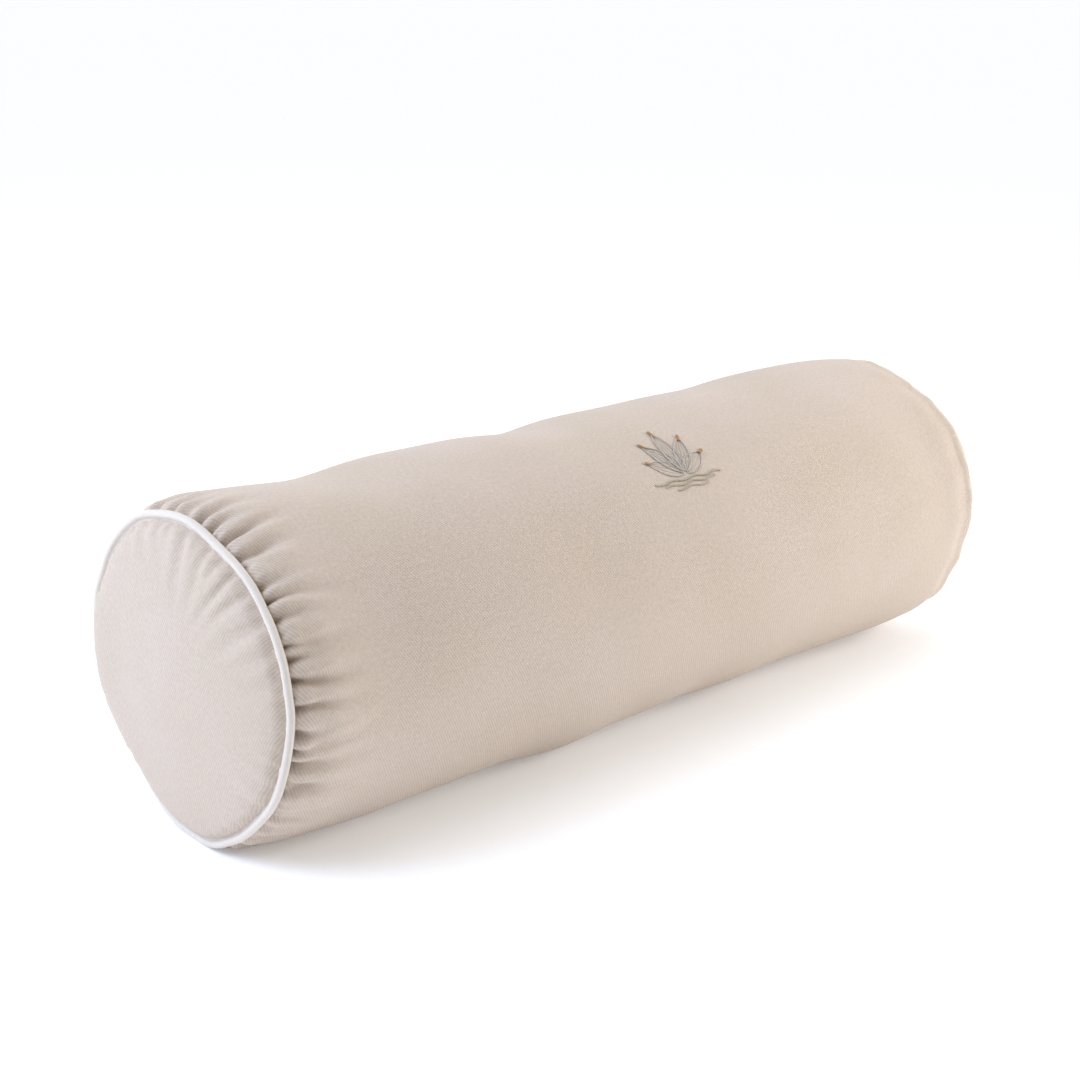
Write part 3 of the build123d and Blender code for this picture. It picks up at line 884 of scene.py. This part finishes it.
# Where each end panel stands proud: degrees, radius share, height in mm, reach in degrees and radius share.
END_SWELLS = {
    -1: (
        (200, 0.9, 3.0, 42, 0.22), (40, 0.8, 1.2, 30, 0.25),
        (300, 0.75, 1.0, 40, 0.3), (90, 0.55, 1.4, 60, 0.35),
    ),
    1: ((60, 0.85, 2.2, 30, 0.25), (0, 0.85, 1.4, 30, 0.25), (190, 0.8, 1.8, 40, 0.3)),
}
# Where each end panel's puckers are deeper or shallower: degrees, spread in degrees, how much.
END_PUCKERS = {
    -1: ((50, 22, 1.4), (330, 12, 0.3), (280, 50, -0.55), (180, 50, -0.6)),
    1: ((60, 30, 1.0), (20, 20, 0.6)),
}


class BOLSTER_OT_end_panels(bpy.types.Operator):
    """Makes both round end panels: crowned, puckered along the seam, with their edges turned in"""

    bl_idname = "bolster.end_panels"
    bl_label = "End panels"

    def execute(self, context):
        cover = settings("cover")
        turned_rings = 9
        out, radius = end_profile(60)
        steps = np.hypot(np.diff(out, prepend=out[0]), np.diff(radius, prepend=radius[0]))
        distance = np.cumsum(steps)[:, None]
        count = 320
        angle = (np.arange(count) * TURN / count)[None, :]
        for side, name in ((-1, "left"), (1, "right")):
            outwards, radial = seam_wander(angle, side)
            hold = bell(distance, 32 * MM)
            share = (radius / radius[0])[:, None]
            swell = 0
            for place, at, height, spread, reach in END_SWELLS[side]:
                round_it = bell(turn_away(angle, math.radians(place)), math.radians(spread))
                swell = swell + height * MM * round_it * bell(share - at, reach)
            swell = swell * (1 - bell(distance, 5 * MM))
            place = side * (SEAM_X + out[:, None] + outwards * hold)
            rings = to_place(place, radius[:, None] + radial * hold, angle)[:-1]
            pucker = folds(
                distance, angle, 20 + side, 40, cover.pucker, 46 * MM, 4.0 * MM, 2.8 * MM, END_PUCKERS[side]
            )
            # the cloth puffs up beside the seam, but is drawn in where the top meets the back
            drawn_in = bell(turn_away(angle, 2.25), 0.5)
            puff = 0.8 * MM * bell(distance - 6 * MM, 4 * MM)
            puff = puff - 1.4 * MM * bell(distance - 4.5 * MM, 2.5 * MM) * drawn_in
            rings = rings + self.facing(rings, side) * (swell + pucker + puff)[:-1, :, None]
            facing = self.facing(rings, side)
            rings = rings - facing * cover.cloth / 2
            turned = rings[:turned_rings][::-1] - facing[:turned_rings][::-1] * cover.fold
            rings = rest_on_floor(np.concatenate([turned, rings]), cover.cloth / 2)
            centre = rings[-1].mean(0)
            piece = disc_piece("end_panel_" + name, rings, centre, flip=side > 0)
            thicken(piece, cover.cloth * 0.95)
            finish_piece(piece, MATERIALS["twill"], "cover_twill", "cover_end_panel_" + name)
        return {"FINISHED"}

    def facing(self, rings, side):
        """Unit normals of an end panel's rings, turned away from the bolster's middle."""
        normals = grid_normals(rings, wrap=True)
        return normals * np.sign((normals[-1, :, 0] * side).sum())


class BOLSTER_OT_piping(bpy.types.Operator):
    """Makes the piping: a bias strip round a cord, with its flange in the seam, and the seam's thread"""

    bl_idname = "bolster.piping"
    bl_label = "Piping"

    def execute(self, context):
        stations = 288
        angle = np.arange(stations) * TURN / stations
        for side, name in ((-1, "left"), (1, "right")):
            outwards, radial = seam_wander(angle, side)
            x = side * (SEAM_X + outwards + harmonics(angle, 60 + side, (13, 19, 26), 0.15 * MM))
            reach = PIPING_RING + radial + harmonics(angle, 70 + side, (11, 17, 23), 0.15 * MM)
            centre = rest_on_floor(to_place(x, reach, angle), SLEEVE_RADIUS)
            out = centre - np.array([0, 0, AXIS_HEIGHT])
            out[:, 0] = 0
            out /= np.linalg.norm(out, axis=-1, keepdims=True)
            along = np.array([1.0, 0, 0])
            # the strip's section: a round sleeve that closes on its two-ply flange, which runs inwards
            turn = np.linspace(math.radians(-78), math.radians(258), 17)
            neck, flange_top, flange_foot = 0.6 * MM, -4 * MM, -9 * MM
            across = np.concatenate([SLEEVE_RADIUS * np.cos(turn), [-neck, -neck, neck, neck]])
            flange = [flange_top, flange_foot, flange_foot, flange_top]
            away = np.concatenate([SLEEVE_RADIUS * np.sin(turn), flange])
            strip = centre[:, None] + across[None, :, None] * along + away[None, :, None] * out[:, None]
            girth = np.cumsum(np.hypot(np.diff(across, append=across[0]), np.diff(away, append=away[0])))
            run = np.arange(stations + 1) * TURN * PIPING_RING / stations
            uv = np.stack(np.meshgrid(run, np.concatenate([[0], girth]), indexing="ij"), -1)
            piece = ring_piece("piping_" + name, strip, uv)
            finish_piece(piece, MATERIALS["bias"], "piping_cloth", "piping_sleeve_" + name)
            cord = tube_piece("piping_core_" + name, centre[None], CORD_RADIUS * 0.93, 10, True)
            finish_piece(cord, MATERIALS["cord"], "piping_cord", "piping_cord_" + name)
            # the seam's thread runs through the flange, on its outer face
            seam = centre - out * 6.5 * MM + along * side * 1.1 * MM
            thread = tube_piece("end_seam_stitch_" + name, seam[None], 0.3 * MM, 6, True)
            finish_piece(thread, MATERIALS["thread"], "sewing_thread", "end_seam_thread_" + name)
        return {"FINISHED"}


def ring_piece(name, sections, uv):
    """A closed section carried round a closed ring: both directions of the grid wrap."""
    rows, columns = sections.shape[:2]
    row, column = grid_corners(rows + 1, columns, True)
    faces = (row % rows) * columns + column % columns
    return make_piece(name, sections, faces.tolist(), uv[row.ravel(), column.ravel()])


def zip_place(x, across, height):
    """Points in the zip's frame: along it, across it and out from the body radius."""
    out = np.array([0, -math.cos(ZIP_ANGLE), math.sin(ZIP_ANGLE)])
    down = np.array([0, math.sin(ZIP_ANGLE), math.cos(ZIP_ANGLE)])
    axis = np.array([0, 0, AXIS_HEIGHT])
    x, across, height = np.broadcast_arrays(x, across, height)
    along = np.stack([x, np.zeros_like(x), np.zeros_like(x)], -1)
    return axis + along + across[..., None] * down + (BODY_RADIUS + height)[..., None] * out


class BOLSTER_OT_zip(bpy.types.Operator):
    """Makes the zip's two coils, and gives the tapes, stops, slider and pull their finishes"""

    bl_idname = "bolster.zip"
    bl_label = "Zip"

    def execute(self, context):
        trim = settings("trim")
        low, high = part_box("zip_coil_lower")
        turns = int((high.x - low.x) / trim.coil_pitch)
        per_turn = 9
        wire = 0.3 * MM
        # one coil: an oval that climbs one pitch with each turn, from the chain's middle to the tape's side
        step = np.arange(turns * per_turn + 1) / per_turn
        x = low.x + wire + step * (high.x - low.x - 2 * wire) / turns
        centre, half_width = 1.8 * MM, 1.3 * MM - wire
        foot, top = -1.85 * MM + wire, -0.25 * MM - wire
        for side, name in ((-1, "upper"), (1, "lower")):
            shift = 0.5 if side > 0 else 0.0
            turn = TURN * (step + shift)
            across = side * (centre + half_width * np.cos(turn))
            height = (foot + top) / 2 + (top - foot) / 2 * np.sin(turn)
            path = zip_place(x, across, height)
            coil = tube_piece("zip_coil_turns_" + name, path[None], wire, 5, False)
            finish_piece(coil, MATERIALS["nylon"], "zip_coil", "zip_coil_" + name)
            finish_node("zip_tape_" + name, MATERIALS["tape"])
        for name in ("zip_top_stops", "zip_bottom_stop", "zip_slider_body", "zip_pull_tab"):
            finish_node(name, MATERIALS["nickel"])
        return {"FINISHED"}


def stitches(name, starts, ends, rise, thread, material, slot, *nodes):
    """A row of stitches on the cover, each a short thread that dips into the cloth at both ends.

    Starts and ends are (x, angle) pairs. A stitch follows the cover between them, and its height is a
    half sine.
    """
    share = np.linspace(0, 1, 7)[None, :]
    x = starts[0][:, None] * (1 - share) + ends[0][:, None] * share
    angle = starts[1][:, None] * (1 - share) + ends[1][:, None] * share
    lift = rise * np.sin(np.pi * share) ** 0.6
    piece = tube_piece(name, over_cover(x, angle, lift), thread / 2, 6, False)
    return finish_piece(piece, material, slot, *nodes)


class BOLSTER_OT_stitching(bpy.types.Operator):
    """Makes the topstitching along the zip and the bar tacks across its ends"""

    bl_idname = "bolster.stitching"
    bl_label = "Stitching"

    def execute(self, context):
        trim = settings("trim")
        half = ZIP_END_X + 4 * MM
        count = int(2 * half / trim.stitch)
        x = -half + np.arange(count) * trim.stitch
        rise = settings("cover").cloth / 2 + trim.thread * 0.15
        for side, name in ((-1, "upper"), (1, "lower")):
            angle = np.full(count, ZIP_ANGLE + side * (trim.slot + trim.margin) / BODY_RADIUS)
            stitches("topstitching_" + name, (x, angle), (x + trim.stitch * 0.86, angle), rise, trim.thread,
                     MATERIALS["thread"], "sewing_thread", "zip_topstitch_" + name)
        # bar tacks: close zigzag stitches laid across the slot's closed ends
        reach = trim.slot + trim.margin
        rows = np.arange(22)
        places, angles = [], []
        for side in (-1, 1):
            places.append(np.full(len(rows), side * (half + 0.4 * MM)))
            angles.append(ZIP_ANGLE + (-reach + rows * 2 * reach / len(rows)) / BODY_RADIUS)
        start_x, start_angle = np.concatenate(places), np.concatenate(angles)
        stitches("bar_tacks", (start_x - 1.1 * MM, start_angle), (start_x + 1.1 * MM, start_angle + 0.004),
                 rise + 0.1 * MM, trim.thread, MATERIALS["thread"], "sewing_thread", "zip_bartacks")
        return {"FINISHED"}


def spun(points, turn, origin):
    """Flat points turned about their own origin, then moved to another."""
    spin = np.array([[math.cos(turn), -math.sin(turn)], [math.sin(turn), math.cos(turn)]])
    return points @ spin.T + origin


def petal_half(share, width):
    """Half the width of a petal at a share of its length: a sine that is fullest before the middle."""
    return width / 2 * np.sin(np.pi * share**0.85) ** 0.9


def petal_threads(length, width, pitch):
    """Long stitches that run from a petal's foot to its tip, bending with its sides, as flat paths."""
    count = int(width * 0.86 / pitch)
    offset = np.linspace(-0.86, 0.86, count)[:, None]
    rng = np.random.default_rng(count)
    first = 0.06 + rng.uniform(0, 0.10, count)[:, None]
    last = 0.93 - rng.uniform(0, 0.16, count)[:, None] - 0.12 * np.abs(offset)
    share = first + (last - first) * np.linspace(0, 1, 7)[None, :]
    return np.stack([offset * petal_half(share, width), share * length], -1)


def edge_threads(line, width, pitch):
    """Satin stitches across a line: short threads side by side, slanted a little, as flat paths."""
    steps = np.linalg.norm(np.diff(line, axis=0), axis=-1)
    run = np.concatenate([[0], np.cumsum(steps)])
    at = np.arange(pitch / 2, run[-1], pitch)
    middle = np.stack([np.interp(at, run, line[:, k]) for k in (0, 1)], -1)
    ahead = np.gradient(middle, axis=0)
    ahead /= np.linalg.norm(ahead, axis=-1, keepdims=True)
    across = np.stack([-ahead[:, 1], ahead[:, 0]], -1) * width / 2 + ahead * width * 0.18
    share = np.linspace(-1, 1, 5)[None, :, None]
    return middle[:, None] + across[:, None] * share


class BOLSTER_OT_embroidery(bpy.types.Operator):
    """Embroiders the lotus and its ripples, with the stabiliser behind them"""

    bl_idname = "bolster.embroidery"
    bl_label = "Embroidery"

    def execute(self, context):
        motif = settings("motif")
        foot = np.array([0.0, -(motif.petal - 12 * MM) / 2])
        share = np.linspace(0.03, 0.985, 40)
        fills, edges, knots, fill_layers, edge_layers = [], [], [], [], []
        for layer, (k, size) in enumerate(((0, 0.75), (4, 0.75), (1, 0.89), (3, 0.89), (2, 1.0))):
            length, turn = motif.petal * size, (2 - k) * motif.spread
            fill = spun(petal_threads(length, motif.width, motif.thread * 4.4), turn, foot)
            half = petal_half(share, motif.width)
            line = np.concatenate([
                np.stack([half, share * length], -1), np.stack([-half, share * length], -1)[::-1]
            ])
            edge = spun(edge_threads(line, motif.edge, motif.thread), turn, foot)
            tip = np.stack([np.zeros(9), length * np.linspace(0.90, 1.07, 9)], -1)
            knots.append(spun(edge_threads(tip, 2.4 * MM, motif.thread), turn, foot))
            fills.append(fill)
            edges.append(edge)
            fill_layers.append(np.full(len(fill), layer // 2))
            edge_layers.append(np.full(len(edge), layer // 2))
        self.sew("embroidery_veins", np.concatenate(fills), np.concatenate(fill_layers), 0.10 * MM,
                 MATERIALS["silver"], "embroidery_grey")
        self.sew("embroidery_lotus", np.concatenate(edges), np.concatenate(edge_layers), 0.40 * MM,
                 MATERIALS["silver"], "embroidery_grey", "embroidery_petals")
        knots = np.concatenate(knots)
        self.sew("embroidery_tips", knots, np.full(len(knots), 3), 0.45 * MM,
                 MATERIALS["gold"], "embroidery_bronze")
        ripples = []
        for row, length in enumerate((58 * MM, 44 * MM, 28 * MM)):
            x = np.linspace(-length / 2, length / 2, 80)
            y = 0.7 * MM * np.sin(x / (3.0 * MM) + row) - (4.0 + 3.0 * row) * MM
            line = np.stack([x, y + foot[1]], -1)
            ripples.append(edge_threads(line, (1.7 - 0.3 * row) * MM, motif.thread))
        ripples = np.concatenate(ripples)
        self.sew("embroidery_ripple", ripples, np.zeros(len(ripples)), 0.42 * MM,
                 MATERIALS["bronze"], "embroidery_bronze", "embroidery_ripples")
        self.back()
        return {"FINISHED"}

    def sew(self, name, flat, layers, swell, material, slot, *nodes):
        """Lays threads on the cover along flat paths of the motif's plane, later layers higher.

        A thread's height over the cloth is a sine of its share, raised by its layer.
        """
        motif = settings("motif")
        x = motif.x + flat[..., 0]
        angle = motif.angle + flat[..., 1] / BODY_RADIUS
        share = np.linspace(0, 1, flat.shape[1])[None, :]
        rise = settings("cover").cloth / 2 + 0.06 * MM + layers[:, None] * 0.2 * MM
        lift = rise + swell * np.sin(np.pi * share) ** 0.5
        piece = tube_piece(name, over_cover(x, angle, lift), motif.thread * 0.5, 5, False)
        finish_piece(piece, material, slot, *nodes)

    def back(self):
        """Lays the stabiliser and the blank care label against the cover's inner face."""
        cloth = settings("cover").cloth
        for name, node, slot, material in (
            ("stabiliser", "embroidery_backing", "stabiliser", "nonwoven"),
            ("care_label_blank", "care_label", "label_satin", "satin"),
        ):
            low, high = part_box(node)
            first, last = node_angles(node)
            x = np.linspace(low.x, high.x, 25)[:, None]
            angle = np.linspace(first, last, 25)[None, :]
            x, angle = np.broadcast_arrays(x, angle)
            points = on_cover(x, angle, -cloth)
            uv = np.stack([x, angle * BODY_RADIUS], -1)
            piece = grid_piece(name, points, uv, flip=True)
            thicken(piece, 0.25 * MM)
            finish_piece(piece, MATERIALS[material], slot, node)


def node_angles(name):
    """Lowest and highest angle round the bolster that a CAD node reaches."""
    mesh = frame["nodes"][name].data
    points = np.zeros(len(mesh.vertices) * 3, np.float32)
    mesh.vertices.foreach_get("co", points)
    points = points.reshape(-1, 3)
    angle = np.arctan2(points[:, 2] - AXIS_HEIGHT, -points[:, 1]) % TURN
    return float(angle.min()), float(angle.max())


class BOLSTER_OT_inner_pad(bpy.types.Operator):
    """Makes the inner pad: a cotton case in three panels round the fibre filling"""

    bl_idname = "bolster.inner_pad"
    bl_label = "Inner pad"

    def execute(self, context):
        sides = 96
        case_share, fill_share = 0.985, 0.97  # how long the case and the filling are, to the cover
        case_cloth = 0.5 * MM
        gap, seam_gap, end_inset = 6.8 * MM, 4.5 * MM, 11 * MM  # what the case leaves to the cover
        fibre_gap = 1.5 * MM
        tube_x, tube_radius, _ = body_profile(26, 0.5)
        out, dome_radius = end_profile(18)
        angle = (np.arange(sides) * TURN / sides)[None, :]
        inset = gap + seam_gap * bell(np.abs(tube_x) - (SEAM_X - 14 * MM), 18 * MM)
        girth = np.arange(sides + 1) * TURN * BODY_RADIUS / sides

        case_x = tube_x * case_share
        points = to_place(case_x[:, None], (tube_radius - inset)[:, None], angle)
        points = rest_on_floor(points, inset[:, None])
        uv = np.stack(np.meshgrid(case_x, girth, indexing="ij"), -1)
        tube = grid_piece("inner_case_tube", points, uv, wrap=True, flip=True)
        finish_piece(tube, MATERIALS["case"], "case_cloth", "inner_case_body")
        thicken(tube, case_cloth)
        for side, name in ((-1, "left"), (1, "right")):
            x = side * (SEAM_X * case_share + 0.9 * MM + (out[:-1] - 1.5 * MM)[:, None] * 0.8)
            radius = np.maximum(dome_radius[:-1] - end_inset, 0.5 * MM)[:, None]
            rings = to_place(x, radius, angle)
            centre = np.array([rings[-1, 0, 0] + side * 0.1 * MM, 0, AXIS_HEIGHT])
            rings = rest_on_floor(rings, end_inset)
            piece = disc_piece("inner_case_cap_" + name, rings, centre, flip=side > 0)
            thicken(piece, case_cloth)
            finish_piece(piece, MATERIALS["case"], "case_cloth", "inner_case_end_" + name)
        dome = out[:-1] * 0.7
        fill_end = SEAM_X * fill_share
        x = np.concatenate([-(fill_end + dome[::-1]), tube_x * fill_share, fill_end + dome])
        dome_inner = dome_radius[:-1] - end_inset
        radius = np.concatenate([dome_inner[::-1], tube_radius - inset, dome_inner]) - fibre_gap
        points = to_place(x[:, None], np.maximum(radius, 0.4 * MM)[:, None], angle)
        points = rest_on_floor(points, gap + fibre_gap)
        fill = closed_roll("fibre_filling", points)
        finish_piece(fill, MATERIALS["fibre"], "fibre", "fibre_fill")
        return {"FINISHED"}


def closed_roll(name, rings):
    """Rings of points closed at both ends by one point each."""
    rows, columns = rings.shape[:2]
    row, column = grid_corners(rows, columns, True)
    quads = (row * columns + column % columns)[:, ::-1]
    step = np.arange(columns)
    first = np.stack([step, (step + 1) % columns, np.full(columns, rows * columns)], 1)
    start = (rows - 1) * columns
    last = np.stack([start + (step + 1) % columns, start + step, np.full(columns, rows * columns + 1)], 1)
    points = np.concatenate([rings.reshape(-1, 3), rings[0].mean(0)[None], rings[-1].mean(0)[None]])
    return make_piece(name, points, quads.tolist() + first.tolist() + last.tolist())


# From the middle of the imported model's box to the point that the camera looks at.
AIM_OFFSET = Vector((-0.016, 0.022, 0.0156))
# Each light: name, the setting of its power, kind, place, size (a sun's angle, a window's side) and colour.
LIGHTS = (
    ("overhead", "overhead", "SUN", (-0.9, 0.3, 2.0), math.radians(60), "#FFFFFF"),
    ("right_window", "right", "AREA", (0.90, -0.80, 0.50), 0.5, "#FFFDFA"),
    ("left_window", "left", "AREA", (-1.4, 0.50, 1.05), 1.0, "#CFE1FF"),
)


class BOLSTER_OT_stage(bpy.types.Operator):
    """Sets up the white floor, the soft lights and the camera"""

    bl_idname = "bolster.stage"
    bl_label = "Stage"

    def execute(self, context):
        stage = settings("stage")
        self.floor(stage)
        self.backdrop(stage)
        self.lights(stage)
        aim = (CAD_BOX[0] + CAD_BOX[1]) / 2 + AIM_OFFSET
        flat = math.cos(stage.elevation)
        back = Vector((
            math.sin(stage.azimuth) * flat, -math.cos(stage.azimuth) * flat, math.sin(stage.elevation)
        ))
        data = bpy.data.cameras.new("camera")
        data.lens = stage.lens
        camera = bpy.data.objects.new("camera", data)
        camera.location = aim + back * stage.distance
        camera.rotation_mode = "QUATERNION"
        camera.rotation_quaternion = (-back).to_track_quat("-Z", "Y")
        context.scene.collection.objects.link(camera)
        context.scene.camera = camera
        context.scene.view_settings.view_transform = "Standard"
        return {"FINISHED"}

    def floor(self, stage):
        """A matt white floor that runs out of sight: a shooting table, faintly lit from below."""
        half = stage.floor_size / 2
        corners = np.array([[-half, -half, 0], [half, -half, 0], [half, half, 0], [-half, half, 0]])
        floor = make_piece("floor", corners, [[0, 1, 2, 3]])
        material, tree, shader = new_material("matt_white_board")
        set_shader(shader, Base_Color=hex_linear("#F9FAFC"), Roughness=0.9, Specular_IOR_Level=0.1,
                   Emission_Color=(1, 1, 1, 1), Emission_Strength=stage.glow)
        floor.data.materials.append(material)

    def backdrop(self, stage):
        """A white surround, bright behind the bolster and dim in front of it, by a smooth step between."""
        world = bpy.data.worlds.new("studio")
        world.use_nodes = True
        tree = world.node_tree
        sky = add_node(tree, "TexCoord").outputs["Generated"]
        ahead = (math.sin(-stage.azimuth), math.cos(stage.azimuth), 0.15)
        facing = add_node(tree, "VectorMath", {0: sky, 1: ahead}, operation="DOT_PRODUCT").outputs["Value"]
        strength = add_node(tree, "MapRange", {
            "Value": facing, "From Min": -0.7, "From Max": 0.7,
            "To Min": stage.surround_front, "To Max": stage.surround,
        }, interpolation_type="SMOOTHSTEP").outputs["Result"]
        # the backdrop is seen as white from every side, though it lights the bolster from behind
        seen = add_node(tree, "LightPath").outputs["Is Camera Ray"]
        strength = calculate(tree, "MAXIMUM", strength, seen)
        tree.links.new(strength, tree.nodes["Background"].inputs["Strength"])
        tree.nodes["Background"].inputs["Color"].default_value = (1, 1, 1, 1)
        bpy.context.scene.world = world

    def lights(self, stage):
        """A soft light from above and behind, and one at each end of the bolster."""
        target = Vector((0, 0, AXIS_HEIGHT))
        for name, power, kind, place, size, colour in LIGHTS:
            data = bpy.data.lights.new(name, kind)
            data.energy = getattr(stage, power)
            data.color = hex_linear(colour)[:3]
            if kind == "SUN":
                data.angle = size
            else:
                data.size = size
            light = bpy.data.objects.new(name, data)
            light.location = place
            light.rotation_mode = "QUATERNION"
            light.rotation_quaternion = (target - Vector(place)).to_track_quat("-Z", "Y")
            bpy.context.scene.collection.objects.link(light)


class VIEW3D_PT_bolster(bpy.types.Panel):
    """Lists the bolster's sizes, colours and pieces"""

    bl_label = "Bolster pillow"
    bl_idname = "VIEW3D_PT_bolster"
    bl_space_type = "VIEW_3D"
    bl_region_type = "UI"
    bl_category = "Bolster"

    def draw(self, context):
        for name, kind in SETTINGS.items():
            box = self.layout.box()
            box.label(text=name.title())
            for key in kind.__annotations__:
                box.prop(getattr(context.scene, "bolster_" + name), key)
        for operator in OPERATORS:
            self.layout.operator(operator.bl_idname)


SETTINGS = {
    "cover": BolsterCoverSettings,
    "trim": BolsterTrimSettings,
    "motif": BolsterMotifSettings,
    "stage": BolsterStageSettings,
}
OPERATORS = (
    BOLSTER_OT_stage,
    BOLSTER_OT_cover_body,
    BOLSTER_OT_end_panels,
    BOLSTER_OT_piping,
    BOLSTER_OT_zip,
    BOLSTER_OT_stitching,
    BOLSTER_OT_embroidery,
    BOLSTER_OT_inner_pad,
)
MATERIALS = {}


def make_materials():
    """Makes every finish once."""
    trim, motif = settings("trim"), settings("motif")
    MATERIALS["twill"] = twill_cotton()
    MATERIALS["bias"] = plain_weave("bias_cut_cotton", trim.piping_colour, 0.55 * MM, 0.05 * MM)
    MATERIALS["cord"] = twisted_thread("cotton_filler_cord", trim.piping_colour, 0.9, 0.1, 2.5 * MM)
    MATERIALS["thread"] = twisted_thread("spun_polyester_thread", trim.thread_colour, 0.6, 0.15)
    MATERIALS["tape"] = plain_weave("woven_zip_tape", trim.tape_colour, 0.6 * MM, 0.06 * MM, 0.7, "Object")
    MATERIALS["nylon"] = drawn_nylon(trim.coil_colour)
    MATERIALS["nickel"] = nickel_plate(trim.metal_colour)
    MATERIALS["silver"] = twisted_thread("silver_rayon", motif.silver, 0.34, 0.3)
    MATERIALS["gold"] = twisted_thread("gold_brown_rayon", motif.gold, 0.34, 0.3)
    MATERIALS["bronze"] = twisted_thread("bronze_rayon", motif.bronze, 0.38, 0.3)
    MATERIALS["case"] = plain_weave("cotton_cambric", trim.piping_colour, 0.6 * MM, 0.05 * MM)
    MATERIALS["satin"] = plain_weave("polyester_satin", trim.piping_colour, 0.3 * MM, 0.02 * MM, 0.45)
    MATERIALS["nonwoven"] = soft_fibre("cut_away_nonwoven", trim.piping_colour, 900.0)
    MATERIALS["fibre"] = soft_fibre("hollow_polyester_fibre", trim.piping_colour, 260.0)


def register():
    """Registers the classes and hangs the settings on the scene."""
    for kind in (*SETTINGS.values(), *OPERATORS, VIEW3D_PT_bolster):
        bpy.utils.register_class(kind)
    for name, kind in SETTINGS.items():
        setattr(bpy.types.Scene, "bolster_" + name, PointerProperty(type=kind))


def unregister():
    """Takes the settings and the classes away again."""
    for name in SETTINGS:
        delattr(bpy.types.Scene, "bolster_" + name)
    for kind in reversed((*SETTINGS.values(), *OPERATORS, VIEW3D_PT_bolster)):
        bpy.utils.unregister_class(kind)


def main():
    """Makes the whole bolster."""
    register()
    make_materials()
    for operator in OPERATORS:
        group, name = operator.bl_idname.split(".")
        getattr(getattr(bpy.ops, group), name)()


if __name__ == "__main__":
    main()
